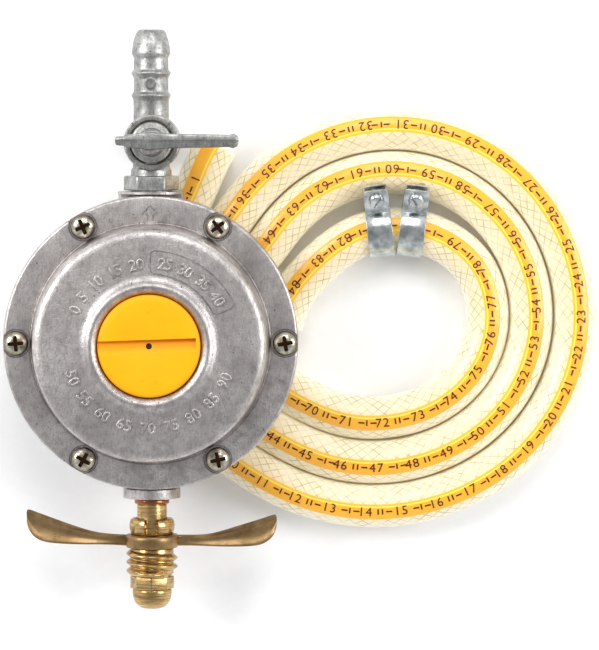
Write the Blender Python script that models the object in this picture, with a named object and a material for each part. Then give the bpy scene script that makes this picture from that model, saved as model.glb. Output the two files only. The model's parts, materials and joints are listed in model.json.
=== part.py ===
"""Gas regulator for a caravan's propane locker, with its loose braided hose coiled beside it and two hose clamps.

The regulator lies on its back with its cap upwards, +Y towards the hose barb, and the hose lies on the same surface.
Sizes are in millimetres here and become metres where the meshes are made.
"""
import math

import bmesh
import bpy
from mathutils import Matrix, Vector

MM = 0.001
GAP = 0.3                      # clearance between any two separate pieces

# Along the gas line, measured from the middle of the round body
BARB_END = 87.1
NOSE_END = 75.2
BODY_Y = (NOSE_END - BARB_END) / 2.0
LINE_Z = 21.0                  # height of the gas line's axis over the surface

# Round body
FLANGE_R = 41.0
LOWER_FLANGE_T = 3.4
JOINT_Z = 26.0                 # top face of the lower casting
DISH_Z = 14.3                  # lowest face of the dish
WALL = 2.5
SPINE_R = 8.0
SPINE_TOP_Z = 24.6
BOSS_END = 43.9
OUTLET_BOSS_R = 9.35
OUTLET_BOSS_END = 41.9
PORT_R = 3.95                  # bore of both gas ports
NOZZLE_R = 2.3
DIAPHRAGM_T = 1.0
DIAPHRAGM_R = 40.6
COVER_Z = JOINT_Z + 2 * GAP + DIAPHRAGM_T
COVER_FLANGE_T = 3.0
DOME_FOOT_R = 32.8
DOME_TOP_R = 31.5
DOME_H = 12.4                  # dome's shoulder over the cover's flange
COLLAR_R = 17.0
CAP_R = 14.5
CAP_TOP = 45.4

# Six cover screws
SCREW_COUNT = 6
SCREW_CIRCLE = 37.4
SCREW_HEAD_R = 3.45
SCREW_HEAD_H = 2.1
SCREW_SHANK_R = 1.45

# Rear plug, which the body stands on
PLUG_Y = -31.2
PLUG_BOSS_R = 6.6
PLUG_BOSS_Z = 7.2
PLUG_HEAD_R = 6.6
PLUG_HEAD_H = 4.9
PLUG_SHANK_R = 4.1

# Inlet: stem, threaded sleeve and wing
SHANK_R = 3.6
STEM_R = 4.15
NOSE_R = 5.5
OCTAGON_R = 6.0
OCTAGON_TOP = 66.0
OCTAGON_END = 69.5
GASKET_R = 4.9
SLEEVE_TOP = 49.4
CROWN_R = 6.35
CROWN_END = 54.1
WING_TOP = 54.3
WING_END = 58.0
WING_HUB_R = 8.3
WING_SPAN = 35.4
WING_T = 1.6
THREAD_R = 7.2
THREAD_ROOT_R = 6.05
THREAD_TOP = 58.3
THREAD_END = 65.7
THREAD_PITCH = 2.45
SLEEVE_TRAVEL = 3.0

# Outlet: tap and hose barb
TAP_X = 0.3
TAP_Y = 55.7
TAP_R = 7.8
TAP_BORE_R = 4.9
TAP_RECESS_R = 6.1
TAP_LOW_Z = 13.3
TAP_TOP_Z = 28.0
HEX_R = 7.8
HEX_START = 42.2
HEX_END = 46.3
NECK_R = 5.1
BARB_R = 4.95
BARB_RIB_R = 5.5
BARB_BORE_R = 2.4
LEVER_T = 3.7
LEVER_Z = 29.4
LEVER_H = 6.0
LEVER_LONG = 24.2
LEVER_SHORT = 9.8

# Mechanism inside the body
PIVOT_Y = -12.0
PIVOT_Z = 19.0
LIFT = 1.2                     # travel of the diaphragm

# Hose and clamps
HOSE_R = 6.1
HOSE_BORE_R = 4.4
COIL_X = 66.7
COIL_Y = 5.9
HOSE_STEP = 15.0               # degrees of the coil between two points of the tube
CLAMP_ANGLES = (-6.2, 14.6)
CLAMP_TURNS = (-0.5, -7.9)
CLAMP_IN_R = 6.9
CLAMP_T = 0.7
CLAMP_W = 7.1
CLAMP_LEAN = 36.0              # how far the ears are turned up from the surface
EAR_END = 15.2
EAR_SCREW = 12.2
EAR_GAP = 1.7
CLAMP_HEAD_R = 2.2

# Radius of the hose's centre line about the coil's centre, at angles clockwise from +Y
COIL_PITCH = 12.6
INNER_KNOTS = ((-95, 30.5), (-85, 29.1), (-72, 27.0), (-60, 25.4), (-45, 24.4), (-30, 24.3), (0, 25.0), (30, 26.2),
               (60, 27.9), (90, 28.0), (120, 27.7), (150, 27.4), (180, 28.2))
OPEN_KNOTS = ((-45, 39.7), (-30, 40.2), (15, 41.1), (90, 40.4), (150, 39.9), (180, 41.0))
UNDER_KNOTS = ((210, 31.1), (225, 33.3), (240, 36.8), (255, 41.1), (270, 43.3), (285, 42.3), (300, 39.8))
TAIL_KNOT = (1035, 68.9)
TURNS = 3

SPIN = 0.037                   # keeps the facets of crossing round shapes from lining up
FINE = 56
MEDIUM = 32
SMALL = 20


# ---------------------------------------------------------------- scene and materials

def clear_scene():
    for item in list(bpy.data.objects):
        bpy.data.objects.remove(item, do_unlink=True)


def make_material(name, colour, roughness, metallic):
    material = bpy.data.materials.new(name)
    material.use_nodes = True
    shader = material.node_tree.nodes["Principled BSDF"]
    shader.inputs["Base Color"].default_value = (*colour, 1.0)
    shader.inputs["Roughness"].default_value = roughness
    shader.inputs["Metallic"].default_value = metallic
    return material


def make_materials():
    return {
        "zinc_cast": make_material("zinc_cast", (0.50, 0.49, 0.49), 0.42, 0.9),
        "yellow_plastic": make_material("yellow_plastic", (0.98, 0.56, 0.01), 0.35, 0.0),
        "brass": make_material("brass", (0.66, 0.42, 0.13), 0.28, 1.0),
        "passivated_steel": make_material("passivated_steel", (0.58, 0.40, 0.13), 0.32, 1.0),
        "screw_steel": make_material("screw_steel", (0.55, 0.47, 0.30), 0.3, 1.0),
        "copper": make_material("copper", (0.72, 0.33, 0.18), 0.3, 1.0),
        "rubber": make_material("rubber", (0.03, 0.03, 0.03), 0.7, 0.0),
        "fibre": make_material("fibre", (0.30, 0.10, 0.07), 0.8, 0.0),
        "spring_steel": make_material("spring_steel", (0.5, 0.5, 0.5), 0.3, 1.0),
        "plated_steel": make_material("plated_steel", (0.75, 0.77, 0.79), 0.22, 1.0),
        "clear_pvc": make_material("clear_pvc", (0.93, 0.86, 0.62), 0.3, 0.0),
    }


# ---------------------------------------------------------------- ways of making a body

def from_bmesh(name, mesh_data, material=None, smooth=False):
    bmesh.ops.recalc_face_normals(mesh_data, faces=mesh_data.faces)
    if smooth:
        for face in mesh_data.faces:
            face.smooth = True
    mesh = bpy.data.meshes.new(name)
    mesh_data.to_mesh(mesh)
    mesh_data.free()
    item = bpy.data.objects.new(name, mesh)
    bpy.context.scene.collection.objects.link(item)
    if material is not None:
        mesh.materials.append(material)
    return item


def along(direction, base):
    """Matrix that stands the local +Z axis along a direction at a base point in millimetres."""
    turn = Vector((0, 0, 1)).rotation_difference(Vector(direction).normalized()).to_matrix().to_4x4()
    return Matrix.Translation(Vector(base) * MM) @ turn


def body_point(x, y, z):
    return (x, y + BODY_Y, z)


def turned(name, outline, place, steps, material=None, spin=0.0):
    """Closed body of revolution about the local Z axis from a closed outline of (radius, height)."""
    data = bmesh.new()
    rings = []
    for radius, height in outline:
        if radius < 1e-6:
            rings.append([data.verts.new(place @ Vector((0, 0, height * MM)))])
            continue
        ring = []
        for i in range(steps):
            angle = spin + 2 * math.pi * i / steps
            spot = Vector((radius * math.cos(angle), radius * math.sin(angle), height)) * MM
            ring.append(data.verts.new(place @ spot))
        rings.append(ring)
    for k, low in enumerate(rings):
        high = rings[(k + 1) % len(rings)]
        if len(low) == 1 and len(high) == 1:
            continue
        for i in range(steps):
            j = (i + 1) % steps
            if len(low) == 1:
                data.faces.new((low[0], high[i], high[j]))
            elif len(high) == 1:
                data.faces.new((low[i], low[j], high[0]))
            else:
                data.faces.new((low[i], low[j], high[j], high[i]))
    return from_bmesh(name, data, material, smooth=steps > 8)


def rod(name, radius, low, high, place, steps=SMALL, material=None, spin=0.0):
    return turned(name, [(0, low), (radius, low), (radius, high), (0, high)], place, steps, material, spin)


def slab(name, outline, low, high, place, material=None):
    """Flat piece: a closed outline of (x, y) carried from one height to another."""
    data = bmesh.new()
    bottom = [data.verts.new(place @ (Vector((x, y, low)) * MM)) for x, y in outline]
    top = [data.verts.new(place @ (Vector((x, y, high)) * MM)) for x, y in outline]
    data.faces.new(bottom)
    data.faces.new(top)
    for i in range(len(outline)):
        j = (i + 1) % len(outline)
        data.faces.new((bottom[i], bottom[j], top[j], top[i]))
    return from_bmesh(name, data, material)


def flat_topped(name, radius, low, high, place):
    """Round bar along the gas line whose upper side is planed off under the diaphragm."""
    reach = SPINE_TOP_Z - LINE_Z
    half = math.acos(reach / radius)
    steps = 22
    outline = []
    for k in range(steps + 1):
        angle = half + (2 * math.pi - 2 * half) * k / steps
        outline.append((radius * math.sin(angle), radius * math.cos(angle)))
    flat = place @ Matrix(((1, 0, 0, 0), (0, -1, 0, 0), (0, 0, 1, 0), (0, 0, 0, 1)))
    return slab(name, outline, low, high, flat)


def box(name, low, high, place=None, material=None):
    outline = [(low[0], low[1]), (high[0], low[1]), (high[0], high[1]), (low[0], high[1])]
    return slab(name, outline, low[2], high[2], place or Matrix.Identity(4), material)


def coil_spring(name, mean_r, wire_r, low, high, turns, place, material, per_turn=18, sides=6):
    """Round wire wound into a compression spring between two heights, with flat cut ends."""
    data = bmesh.new()
    count = int(turns * per_turn)
    first, last = low + wire_r, high - wire_r
    rings = []
    for k in range(count + 1):
        t = k / count
        angle = 2 * math.pi * turns * t
        centre = Vector((mean_r * math.cos(angle), mean_r * math.sin(angle), first + (last - first) * t))
        out = Vector((math.cos(angle), math.sin(angle), 0))
        ring = []
        for i in range(sides):
            around = 2 * math.pi * i / sides
            spot = centre + (out * math.cos(around) + Vector((0, 0, 1)) * math.sin(around)) * wire_r
            ring.append(data.verts.new(place @ (spot * MM)))
        rings.append(ring)
    for a, b in zip(rings, rings[1:]):
        for i in range(sides):
            j = (i + 1) % sides
            data.faces.new((a[i], a[j], b[j], b[i]))
    data.faces.new(rings[0])
    data.faces.new(rings[-1])
    return from_bmesh(name, data, material, smooth=True)


def combine(target, tool, operation):
    tool.hide_render = True
    tool.display_type = "WIRE"
    change = target.modifiers.new(f"{operation.lower()}_{tool.name}", "BOOLEAN")
    change.operation = operation
    change.solver = "EXACT"
    change.object = tool


def add(target, tool):
    combine(target, tool, "UNION")


def cut(target, tool):
    combine(target, tool, "DIFFERENCE")


def screw_angles():
    return [2 * math.pi * k / SCREW_COUNT for k in range(SCREW_COUNT)]


def screw_place(angle):
    x = SCREW_CIRCLE * math.cos(angle)
    y = SCREW_CIRCLE * math.sin(angle)
    return Matrix.Translation(Vector(body_point(x, y, 0)) * MM)


# ---------------------------------------------------------------- body castings

def lower_body(materials):
    centre = along((0, 0, 1), body_point(0, 0, 0))
    flange_z = JOINT_Z - LOWER_FLANGE_T
    outline = [
        (0, DISH_Z), (26.5, DISH_Z), (30.6, 17.4), (33.0, flange_z), (40.4, flange_z), (FLANGE_R, flange_z + 0.6),
        (FLANGE_R, JOINT_Z), (31.0, JOINT_Z), (29.2, 23.2), (25.2, DISH_Z + WALL),
        (0, DISH_Z + WALL),
    ]
    body = turned("lower_body", outline, centre, FINE, materials["zinc_cast"])

    line = along((0, 1, 0), body_point(0, 0, LINE_Z))
    # inside the flange the bosses stop under the diaphragm, and outside it they are fully round
    add(body, flat_topped("spine_solid", SPINE_R - 0.15, -BOSS_END + 0.8, -20.0, line))
    add(body, rod("inlet_boss", SPINE_R, -BOSS_END, -FLANGE_R - GAP, line, MEDIUM, spin=SPIN))
    add(body, flat_topped("outlet_solid", OUTLET_BOSS_R - 0.15, 27.0, FLANGE_R + GAP + 0.3, line))
    add(body, rod("outlet_boss", OUTLET_BOSS_R, FLANGE_R + GAP, OUTLET_BOSS_END, line, MEDIUM, spin=SPIN))
    for k, angle in enumerate(screw_angles()):
        add(body, rod(f"screw_boss_{k}", 3.5, 17.0, flange_z + 1.0, screw_place(angle), 16))
    add(body, rod("plug_boss", PLUG_BOSS_R, PLUG_BOSS_Z, 19.6, along((0, 0, 1), body_point(0, PLUG_Y, 0)), 26, spin=SPIN))
    for side in (-1, 1):
        low = body_point(side * 4.3 - 1.0, PIVOT_Y - 2.2, DISH_Z + 1.0)
        high = body_point(side * 4.3 + 1.0, PIVOT_Y + 2.2, PIVOT_Z + 1.9)
        add(body, box(f"pivot_post_{side + 1}", low, high))

    inlet = [(0, -BOSS_END - 1), (PORT_R, -BOSS_END - 1), (PORT_R, -32.0), (NOZZLE_R + GAP, -31.0),
             (NOZZLE_R + GAP, -19.0), (0, -19.0)]
    cut(body, turned("inlet_bore", inlet, line, 24, spin=2 * SPIN))
    outlet = [(0, 24.0), (2.4, 24.0), (2.4, 31.0), (PORT_R, 32.0), (PORT_R, OUTLET_BOSS_END + 1), (0, OUTLET_BOSS_END + 1)]
    cut(body, turned("outlet_bore", outlet, line, 24, spin=2 * SPIN))
    plug = along((0, 0, 1), body_point(0, PLUG_Y, 0))
    cut(body, rod("plug_bore", PLUG_SHANK_R + GAP, PLUG_BOSS_Z - 1, 15.5, plug, 24))
    cut(body, rod("pin_bore", 1.2, -7.0, 7.0, along((1, 0, 0), body_point(0, PIVOT_Y, PIVOT_Z)), 16))
    for k, angle in enumerate(screw_angles()):
        cut(body, rod(f"tapped_hole_{k}", SCREW_SHANK_R + GAP, 18.4, JOINT_Z + 1, screw_place(angle), 16))
    return body


def bonnet(materials):
    centre = along((0, 0, 1), body_point(0, 0, 0))
    top = COVER_Z + COVER_FLANGE_T
    crown = top + DOME_H
    outline = [
        (29.5, COVER_Z), (FLANGE_R, COVER_Z), (FLANGE_R, top - 0.7), (40.4, top), (33.4, top), (DOME_FOOT_R, top + 0.6),
        (DOME_TOP_R + 0.6, crown - 1.5), (DOME_TOP_R, crown - 0.5), (DOME_TOP_R - 1.2, crown), (20.0, crown + 0.7),
        (17.8, crown + 1.1),
        (COLLAR_R, crown + 1.9), (15.4, crown + 1.9), (CAP_R + GAP, crown + 1.3), (CAP_R + GAP, 35.0), (17.3, 35.0),
        (17.3, crown - 1.8), (26.8, crown - 2.2), (28.6, crown - 4.0),
    ]
    cover = turned("bonnet", outline, centre, FINE, materials["zinc_cast"])
    for k, angle in enumerate(screw_angles()):
        cut(cover, rod(f"cover_hole_{k}", SCREW_SHANK_R + 0.5, COVER_Z - 1, top + 1, screw_place(angle), 16))
    return cover


def diaphragm(materials):
    centre = along((0, 0, 1), body_point(0, 0, 0))
    low = JOINT_Z + GAP
    high = low + DIAPHRAGM_T
    outline = [
        (2.4, low - 1.2), (21.0, low - 1.2), (23.0, low + 0.6), (25.5, low + 0.9), (28.0, low), (DIAPHRAGM_R, low),
        (DIAPHRAGM_R, high), (28.0, high), (25.5, high + 0.9), (22.6, high + 0.6), (20.6, high - 1.2), (2.4, high - 1.2),
    ]
    disc = turned("diaphragm", outline, centre, FINE, materials["rubber"])
    for k, angle in enumerate(screw_angles()):
        cut(disc, rod(f"diaphragm_hole_{k}", SCREW_SHANK_R + GAP, low - 1, high + 1, screw_place(angle), 14))
    return disc


def cover_screws(materials):
    """Alike pan-head screws, each with its cross recess."""
    seat = COVER_Z + COVER_FLANGE_T + GAP
    top = seat + SCREW_HEAD_H
    outline = [(0, 19.0), (SCREW_SHANK_R, 19.0), (SCREW_SHANK_R, seat), (SCREW_HEAD_R, seat), (SCREW_HEAD_R, seat + 0.7),
               (SCREW_HEAD_R - 0.7, seat + 1.6), (1.9, top), (0, top + 0.1)]
    for k, angle in enumerate(screw_angles(), start=1):
        place = screw_place(angle)
        screw = turned(f"cover_screw_{k}", outline, place, 18, materials["screw_steel"])
        cross = place @ Matrix.Rotation(angle + math.pi / 4, 4, "Z")
        tool = box(f"recess_{k}", (-1.9, -0.4, top - 1.1), (1.9, 0.4, top + 1), cross)
        add(tool, box(f"recess_across_{k}", (-0.4, -1.9, top - 1.1), (0.4, 1.9, top + 1), cross))
        cut(screw, tool)


# ---------------------------------------------------------------- pressure setting, inside the cover

def adjusting_cap(materials):
    centre = along((0, 0, 1), body_point(0, 0, 0))
    outline = [(0.85, 42.6), (12.2, 42.6), (12.2, 36.0), (CAP_R, 36.0), (CAP_R, CAP_TOP - 0.8), (CAP_R - 0.8, CAP_TOP - 0.1),
               (0.85, CAP_TOP)]
    cap = turned("adjusting_cap", outline, centre, 48, materials["yellow_plastic"])
    place = centre @ Matrix.Rotation(math.radians(3.5), 4, "Z")
    cut(cap, box("cap_slot", (-13.2, -1.9, CAP_TOP - 1.5), (13.2, 1.9, CAP_TOP + 1), place))
    return cap


def spring_seat(materials):
    centre = along((0, 0, 1), body_point(0, 0, 0))
    outline = [(0, 38.4), (5.8, 38.4), (6.2, 40.5), (11.4, 40.5), (11.8, 41.0), (11.8, 42.3), (0, 42.3)]
    return turned("spring_seat", outline, centre, 36, materials["plated_steel"])


def main_spring(materials):
    centre = along((0, 0, 1), body_point(0, 0, 0))
    return coil_spring("main_spring", 8.5, 0.8, 27.9, 40.2, 5.0, centre, materials["spring_steel"])


def diaphragm_plate(materials):
    centre = along((0, 0, 1), body_point(0, 0, 0))
    low = JOINT_Z + DIAPHRAGM_T - 1.2 + 2 * GAP
    outline = [(2.3, low), (17.6, low), (18.6, low + 0.8), (18.6, low + 2.0), (17.6, low + 2.0), (17.0, low + 1.2),
               (2.3, low + 1.2)]
    return turned("diaphragm_plate", outline, centre, 44, materials["plated_steel"])


def diaphragm_stem(materials):
    centre = along((0, 0, 1), body_point(0, 0, 0))
    outline = [(0, 19.6), (2.6, 19.6), (2.6, 20.6), (1.7, 20.6), (1.7, 23.4), (6.5, 23.4), (6.5, 24.8), (2.0, 24.8),
               (2.0, 28.0), (4.0, 28.0), (4.0, 29.2), (0, 29.6)]
    return turned("diaphragm_stem", outline, centre, 24, materials["brass"])


def inner_lever(materials):
    """Bell crank on the pivot pin: its fork takes the stem and its short arm pushes the valve."""
    place = along((0, 0, 1), body_point(0, 0, 0))
    z_arm = 21.2
    lever = box("inner_lever", (-2.6, PIVOT_Y - 1.3, z_arm), (2.6, 4.4, z_arm + 1.0), place, materials["plated_steel"])
    add(lever, box("lever_hub", (-2.6, PIVOT_Y - 1.3, PIVOT_Z - 1.7), (2.6, PIVOT_Y + 1.6, z_arm + 0.5), place))
    cut(lever, rod("stem_slot", 2.1, z_arm - 1, z_arm + 2, place, 20))
    cut(lever, box("slot_mouth", (-2.1, 0.0, z_arm - 1), (2.1, 6.0, z_arm + 2), place))
    cut(lever, rod("lever_eye", 1.2, -4, 4, along((1, 0, 0), body_point(0, PIVOT_Y, PIVOT_Z)), 16))
    return lever


def lever_pin(materials):
    place = along((1, 0, 0), body_point(0, PIVOT_Y, PIVOT_Z))
    return rod("lever_pin", 0.9, -5.6, 5.6, place, 16, materials["spring_steel"])


def inlet_nozzle(materials):
    line = along((0, 1, 0), body_point(0, 0, LINE_Z))
    outline = [(0.9, -26.0), (NOZZLE_R, -26.0), (NOZZLE_R, -19.6), (1.5, -18.6), (0.9, -18.6)]
    return turned("inlet_nozzle", outline, line, 24, materials["brass"])


def valve(materials):
    line = along((0, 1, 0), body_point(0, 0, LINE_Z))
    outline = [(0, -16.6), (2.5, -16.6), (2.5, -15.2), (1.3, -14.9), (1.3, -13.7), (0, -13.7)]
    holder = turned("valve_holder", outline, line, 20, materials["brass"])
    disc = rod("valve_disc", 2.5, -18.1, -16.9, line, 20, materials["rubber"])
    return holder, disc


# ---------------------------------------------------------------- rear plug

def rear_plug(materials):
    place = along((0, 0, 1), body_point(0, PLUG_Y, 0))
    plug = rod("rear_plug", PLUG_HEAD_R, 0.0, PLUG_HEAD_H, place, 6, materials["brass"])
    add(plug, rod("plug_shank", PLUG_SHANK_R, PLUG_HEAD_H - 1, 15.2, place, 24))
    low, high = PLUG_HEAD_H + GAP, PLUG_BOSS_Z - GAP
    inner = PLUG_SHANK_R + GAP
    outline = [(inner, low), (6.4, low), (6.4, high), (inner, high)]
    washer = turned("plug_washer", outline, place, 28, materials["fibre"])
    return plug, washer


# ---------------------------------------------------------------- inlet

def inlet_stem(materials):
    """Turned brass stem: shank, shoulder, eight-sided collar and round nose, drilled through."""
    line = along((0, 1, 0), body_point(0, 0, LINE_Z))
    outline = [
        (1.6, -NOSE_END), (2.6, -NOSE_END), (4.1, -NOSE_END + 0.8), (5.1, -NOSE_END + 2.0), (NOSE_R, -NOSE_END + 3.6),
        (NOSE_R, -OCTAGON_END + 0.6), (STEM_R, -OCTAGON_TOP + 0.4), (STEM_R, -45.9), (SHANK_R, -45.9), (SHANK_R, -32.6),
        (1.6, -32.6),
    ]
    stem = turned("inlet_stem", outline, line, MEDIUM, materials["brass"])
    ring = turned("octagon", [(3.0, -OCTAGON_END), (OCTAGON_R, -OCTAGON_END), (OCTAGON_R, -OCTAGON_TOP),
                              (3.0, -OCTAGON_TOP)], line, 8, None, spin=math.pi / 2)
    add(stem, ring)
    inner = SHANK_R + GAP
    gasket = turned("stem_gasket", [(inner, -45.6), (GASKET_R, -45.6), (GASKET_R, -BOSS_END - GAP), (inner, -BOSS_END - GAP)],
                    line, 28, materials["copper"])
    strainer = rod("inlet_filter", 1.25, -NOSE_END + 1.4, -NOSE_END + 9.0, line, 16, materials["copper"])
    return stem, gasket, strainer


def inlet_sleeve(materials):
    """Male threaded sleeve that turns on the stem, with a slotted crown under the wing."""
    line = along((0, 1, 0), body_point(0, 0, LINE_Z))
    bore = STEM_R + GAP
    outline = [(5.55, -SLEEVE_TOP), (CROWN_R, -SLEEVE_TOP), (CROWN_R, -CROWN_END), (5.6, -CROWN_END), (5.6, -THREAD_TOP)]
    count = int((THREAD_END - THREAD_TOP) / THREAD_PITCH)
    for k in range(count):
        start = -THREAD_TOP - k * THREAD_PITCH
        outline += [(THREAD_ROOT_R, start), (THREAD_R, start - 0.75), (THREAD_R, start - 1.35), (THREAD_ROOT_R, start - 2.1)]
    # the outside runs down from the crown, and the inside comes back up to the counterbore
    outline += [(THREAD_ROOT_R, -THREAD_END), (bore, -THREAD_END), (bore, -52.6), (5.55, -52.6)]
    sleeve = turned("sleeve", outline, line, 36, materials["brass"])
    cut(sleeve, box("crown_slot", body_point(-2.2, -53.2, 0), body_point(2.2, -48.0, 40.0)))
    return sleeve


def thrust_washer(materials):
    line = along((0, 1, 0), body_point(0, 0, LINE_Z))
    inner = STEM_R + GAP
    outline = [(inner, -52.3), (5.2, -52.3), (5.2, -51.2), (inner, -51.2)]
    return turned("thrust_washer", outline, line, 24, materials["spring_steel"])


def wing(materials):
    """Pressed two-bladed wing gripped on the sleeve."""
    line = along((0, 1, 0), body_point(0, 0, LINE_Z))
    inner = 5.6 + GAP
    outline = [(inner, -WING_END), (WING_HUB_R - 0.7, -WING_END), (WING_HUB_R, -WING_END + 0.8), (WING_HUB_R - 0.7, -56.1),
               (WING_HUB_R, -WING_TOP - 0.8), (WING_HUB_R - 0.7, -WING_TOP), (inner, -WING_TOP)]
    piece = turned("wing", outline, line, MEDIUM, materials["passivated_steel"])
    flat = Matrix.Translation(Vector((0, BODY_Y * MM, LINE_Z * MM)))
    blades = (
        ("left", [(-7.0, -57.6), (-7.0, -54.8), (-14.0, -53.6), (-22.0, -49.4), (-29.0, -47.2), (-33.6, -46.9),
                  (-WING_SPAN, -48.6), (-WING_SPAN, -53.0), (-33.6, -56.6), (-28.0, -57.4), (-16.0, -57.9)]),
        ("right", [(7.0, -54.8), (7.0, -57.6), (16.0, -58.1), (28.0, -58.1), (33.4, -57.4), (WING_SPAN - 0.2, -54.4),
                   (WING_SPAN - 0.2, -50.0), (33.2, -48.6), (28.0, -49.6), (21.0, -51.4), (14.0, -54.0)]),
    )
    for side, points in blades:
        add(piece, slab(f"blade_{side}", points, -WING_T / 2, WING_T / 2, flat))
    return piece


# ---------------------------------------------------------------- outlet tap

def tap_place():
    return along((0, 0, 1), body_point(TAP_X, TAP_Y, 0))


def tap_body(materials):
    """One casting: shank, hexagon, round housing of the plug, and the ribbed hose barb."""
    line = along((0, 1, 0), body_point(0, 0, LINE_Z))
    housing = tap_place()
    top = BARB_END
    outline = [
        (0, 33.0), (SHANK_R, 33.0), (SHANK_R, HEX_START + 1.4), (NECK_R, HEX_START + 1.4), (NECK_R, 50.0), (BARB_R, 50.4),
        (BARB_R, 68.2), (BARB_RIB_R, 68.7), (BARB_RIB_R, 69.6), (BARB_R, 70.6), (BARB_R, 74.2), (BARB_RIB_R, 74.8),
        (BARB_RIB_R, 75.7), (BARB_R, 76.8), (BARB_R, 79.0), (BARB_RIB_R, 79.8), (BARB_RIB_R, 81.0), (4.9, 84.0),
        (4.0, 86.2), (3.2, top), (0, top),
    ]
    piece = turned("tap_body", outline, line, 28, materials["zinc_cast"])
    add(piece, rod("hex_solid", HEX_R, HEX_START, HEX_END, line, 6))
    add(piece, rod("housing_solid", TAP_R, TAP_LOW_Z, TAP_TOP_Z, housing, MEDIUM, spin=SPIN))
    recess = TAP_TOP_Z - 2.2
    chamber = [(0, TAP_LOW_Z - 1), (TAP_BORE_R, TAP_LOW_Z - 1), (TAP_BORE_R, recess), (TAP_RECESS_R, recess),
               (TAP_RECESS_R, TAP_TOP_Z + 1), (0, TAP_TOP_Z + 1)]
    cut(piece, turned("plug_chamber", chamber, housing, 28, spin=2 * SPIN))
    cut(piece, rod("gas_drill", BARB_BORE_R, 32.0, BARB_END + 1, line, 20, spin=3 * SPIN))
    return piece


def tap_plug(materials):
    place = tap_place()
    outline = [
        (0, 1.2), (1.6, 1.2), (2.0, 1.6), (2.0, 12.9), (4.55, 12.9), (4.55, 23.6), (3.7, 23.6), (3.7, 25.0), (4.55, 25.0),
        (4.55, 28.6), (2.4, 28.6), (2.4, 31.4), (0, 31.4),
    ]
    plug = turned("tap_plug", outline, place, 28, materials["brass"])
    cut(plug, rod("plug_port", BARB_BORE_R, -6, 6, along((1, 0, 0), body_point(TAP_X, TAP_Y, LINE_Z)), 16, spin=SPIN))
    ring = turned("tap_seal", [(4.0, 23.9), (4.6, 23.9), (4.6, 24.7), (4.0, 24.7)], place, 28, materials["rubber"])
    return plug, ring


def tap_fixings(materials):
    place = tap_place()
    washer = turned("tap_washer", [(2.3, 11.9), (5.6, 11.9), (5.6, 12.6), (2.3, 12.6)], place, 28, materials["plated_steel"])
    spring = coil_spring("tap_spring", 3.6, 0.55, 4.6, 11.5, 3.0, place, materials["spring_steel"], 16, 6)
    nut = turned("tap_nut", [(2.3, 0), (5.4, 0), (5.4, 4.2), (2.3, 4.2)], place, 6, materials["plated_steel"])
    cut(nut, rod("nut_bore", 2.3, -1, 5, place, 20))
    return washer, spring, nut


def tap_lever(materials):
    """Handle: an upright flat bar with a domed hub, square to the gas line when shut."""
    place = tap_place()
    low, high = LEVER_Z, LEVER_Z + LEVER_H
    half = LEVER_T / 2
    shift = 0.5
    end = LEVER_LONG
    outline = [
        (-LEVER_SHORT, -half + 0.7 + shift), (-LEVER_SHORT + 0.7, -half + shift), (end - 0.8, -half + shift),
        (end, -half + 0.8 + shift), (end, half - 0.8 + shift), (end - 0.8, half + shift), (-LEVER_SHORT + 0.7, half + shift),
        (-LEVER_SHORT, half - 0.7 + shift),
    ]
    lever = slab("tap_lever", outline, low, high, place, materials["zinc_cast"])
    hub = turned("hub_solid", [(0, 28.9), (4.7, 28.9), (4.7, high - 1.2), (4.0, high - 0.2), (2.2, high + 0.5), (0, high + 0.7)],
                 place, 28)
    add(lever, hub)
    cut(lever, rod("square_socket", 2.75, 27.0, 31.8, place, 20))
    return lever


# ---------------------------------------------------------------- hose and clamps

def hose_knots():
    """Each turn is open beside the body, and shifts out by one pitch where it passes under the body."""
    knots = list(INNER_KNOTS)
    for turn in range(TURNS):
        if turn > 0:
            knots += [(angle + 360 * turn, radius + COIL_PITCH * (turn - 1)) for angle, radius in OPEN_KNOTS]
        knots += [(angle + 360 * turn, radius + COIL_PITCH * turn) for angle, radius in UNDER_KNOTS]
    return knots + [TAIL_KNOT]


def hose_radius(angle):
    """Distance of the hose's centre line from the coil's centre, smooth through the knots."""
    knots = hose_knots()
    k = 0
    while k < len(knots) - 2 and angle > knots[k + 1][0]:
        k += 1
    (a0, r0), (a1, r1) = knots[k], knots[k + 1]
    before = knots[k - 1] if k > 0 else (2 * a0 - a1, 2 * r0 - r1)
    after = knots[k + 2] if k + 2 < len(knots) else (2 * a1 - a0, 2 * r1 - r0)
    slope0 = (r1 - before[1]) / (a1 - before[0])
    slope1 = (after[1] - r0) / (after[0] - a0)
    span = a1 - a0
    t = (angle - a0) / span
    return ((2 * t**3 - 3 * t**2 + 1) * r0 + (t**3 - 2 * t**2 + t) * span * slope0
            + (3 * t**2 - 2 * t**3) * r1 + (t**3 - t**2) * span * slope1)


def hose_height(angle):
    """The hose lies on the surface and lifts a little where the clamps are on it."""
    middle = sum(CLAMP_ANGLES) / 2
    away = min(1.0, max(0.0, (abs(angle - middle) - 18.0) / 40.0))
    lift = CLAMP_IN_R + CLAMP_T - HOSE_R
    return HOSE_R + lift * (1 - away * away * (3 - 2 * away))


def hose_point(angle):
    turn = math.radians(angle)
    radius = hose_radius(angle)
    spot = body_point(COIL_X + radius * math.sin(turn), COIL_Y + radius * math.cos(turn), hose_height(angle))
    return Vector(spot)


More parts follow.
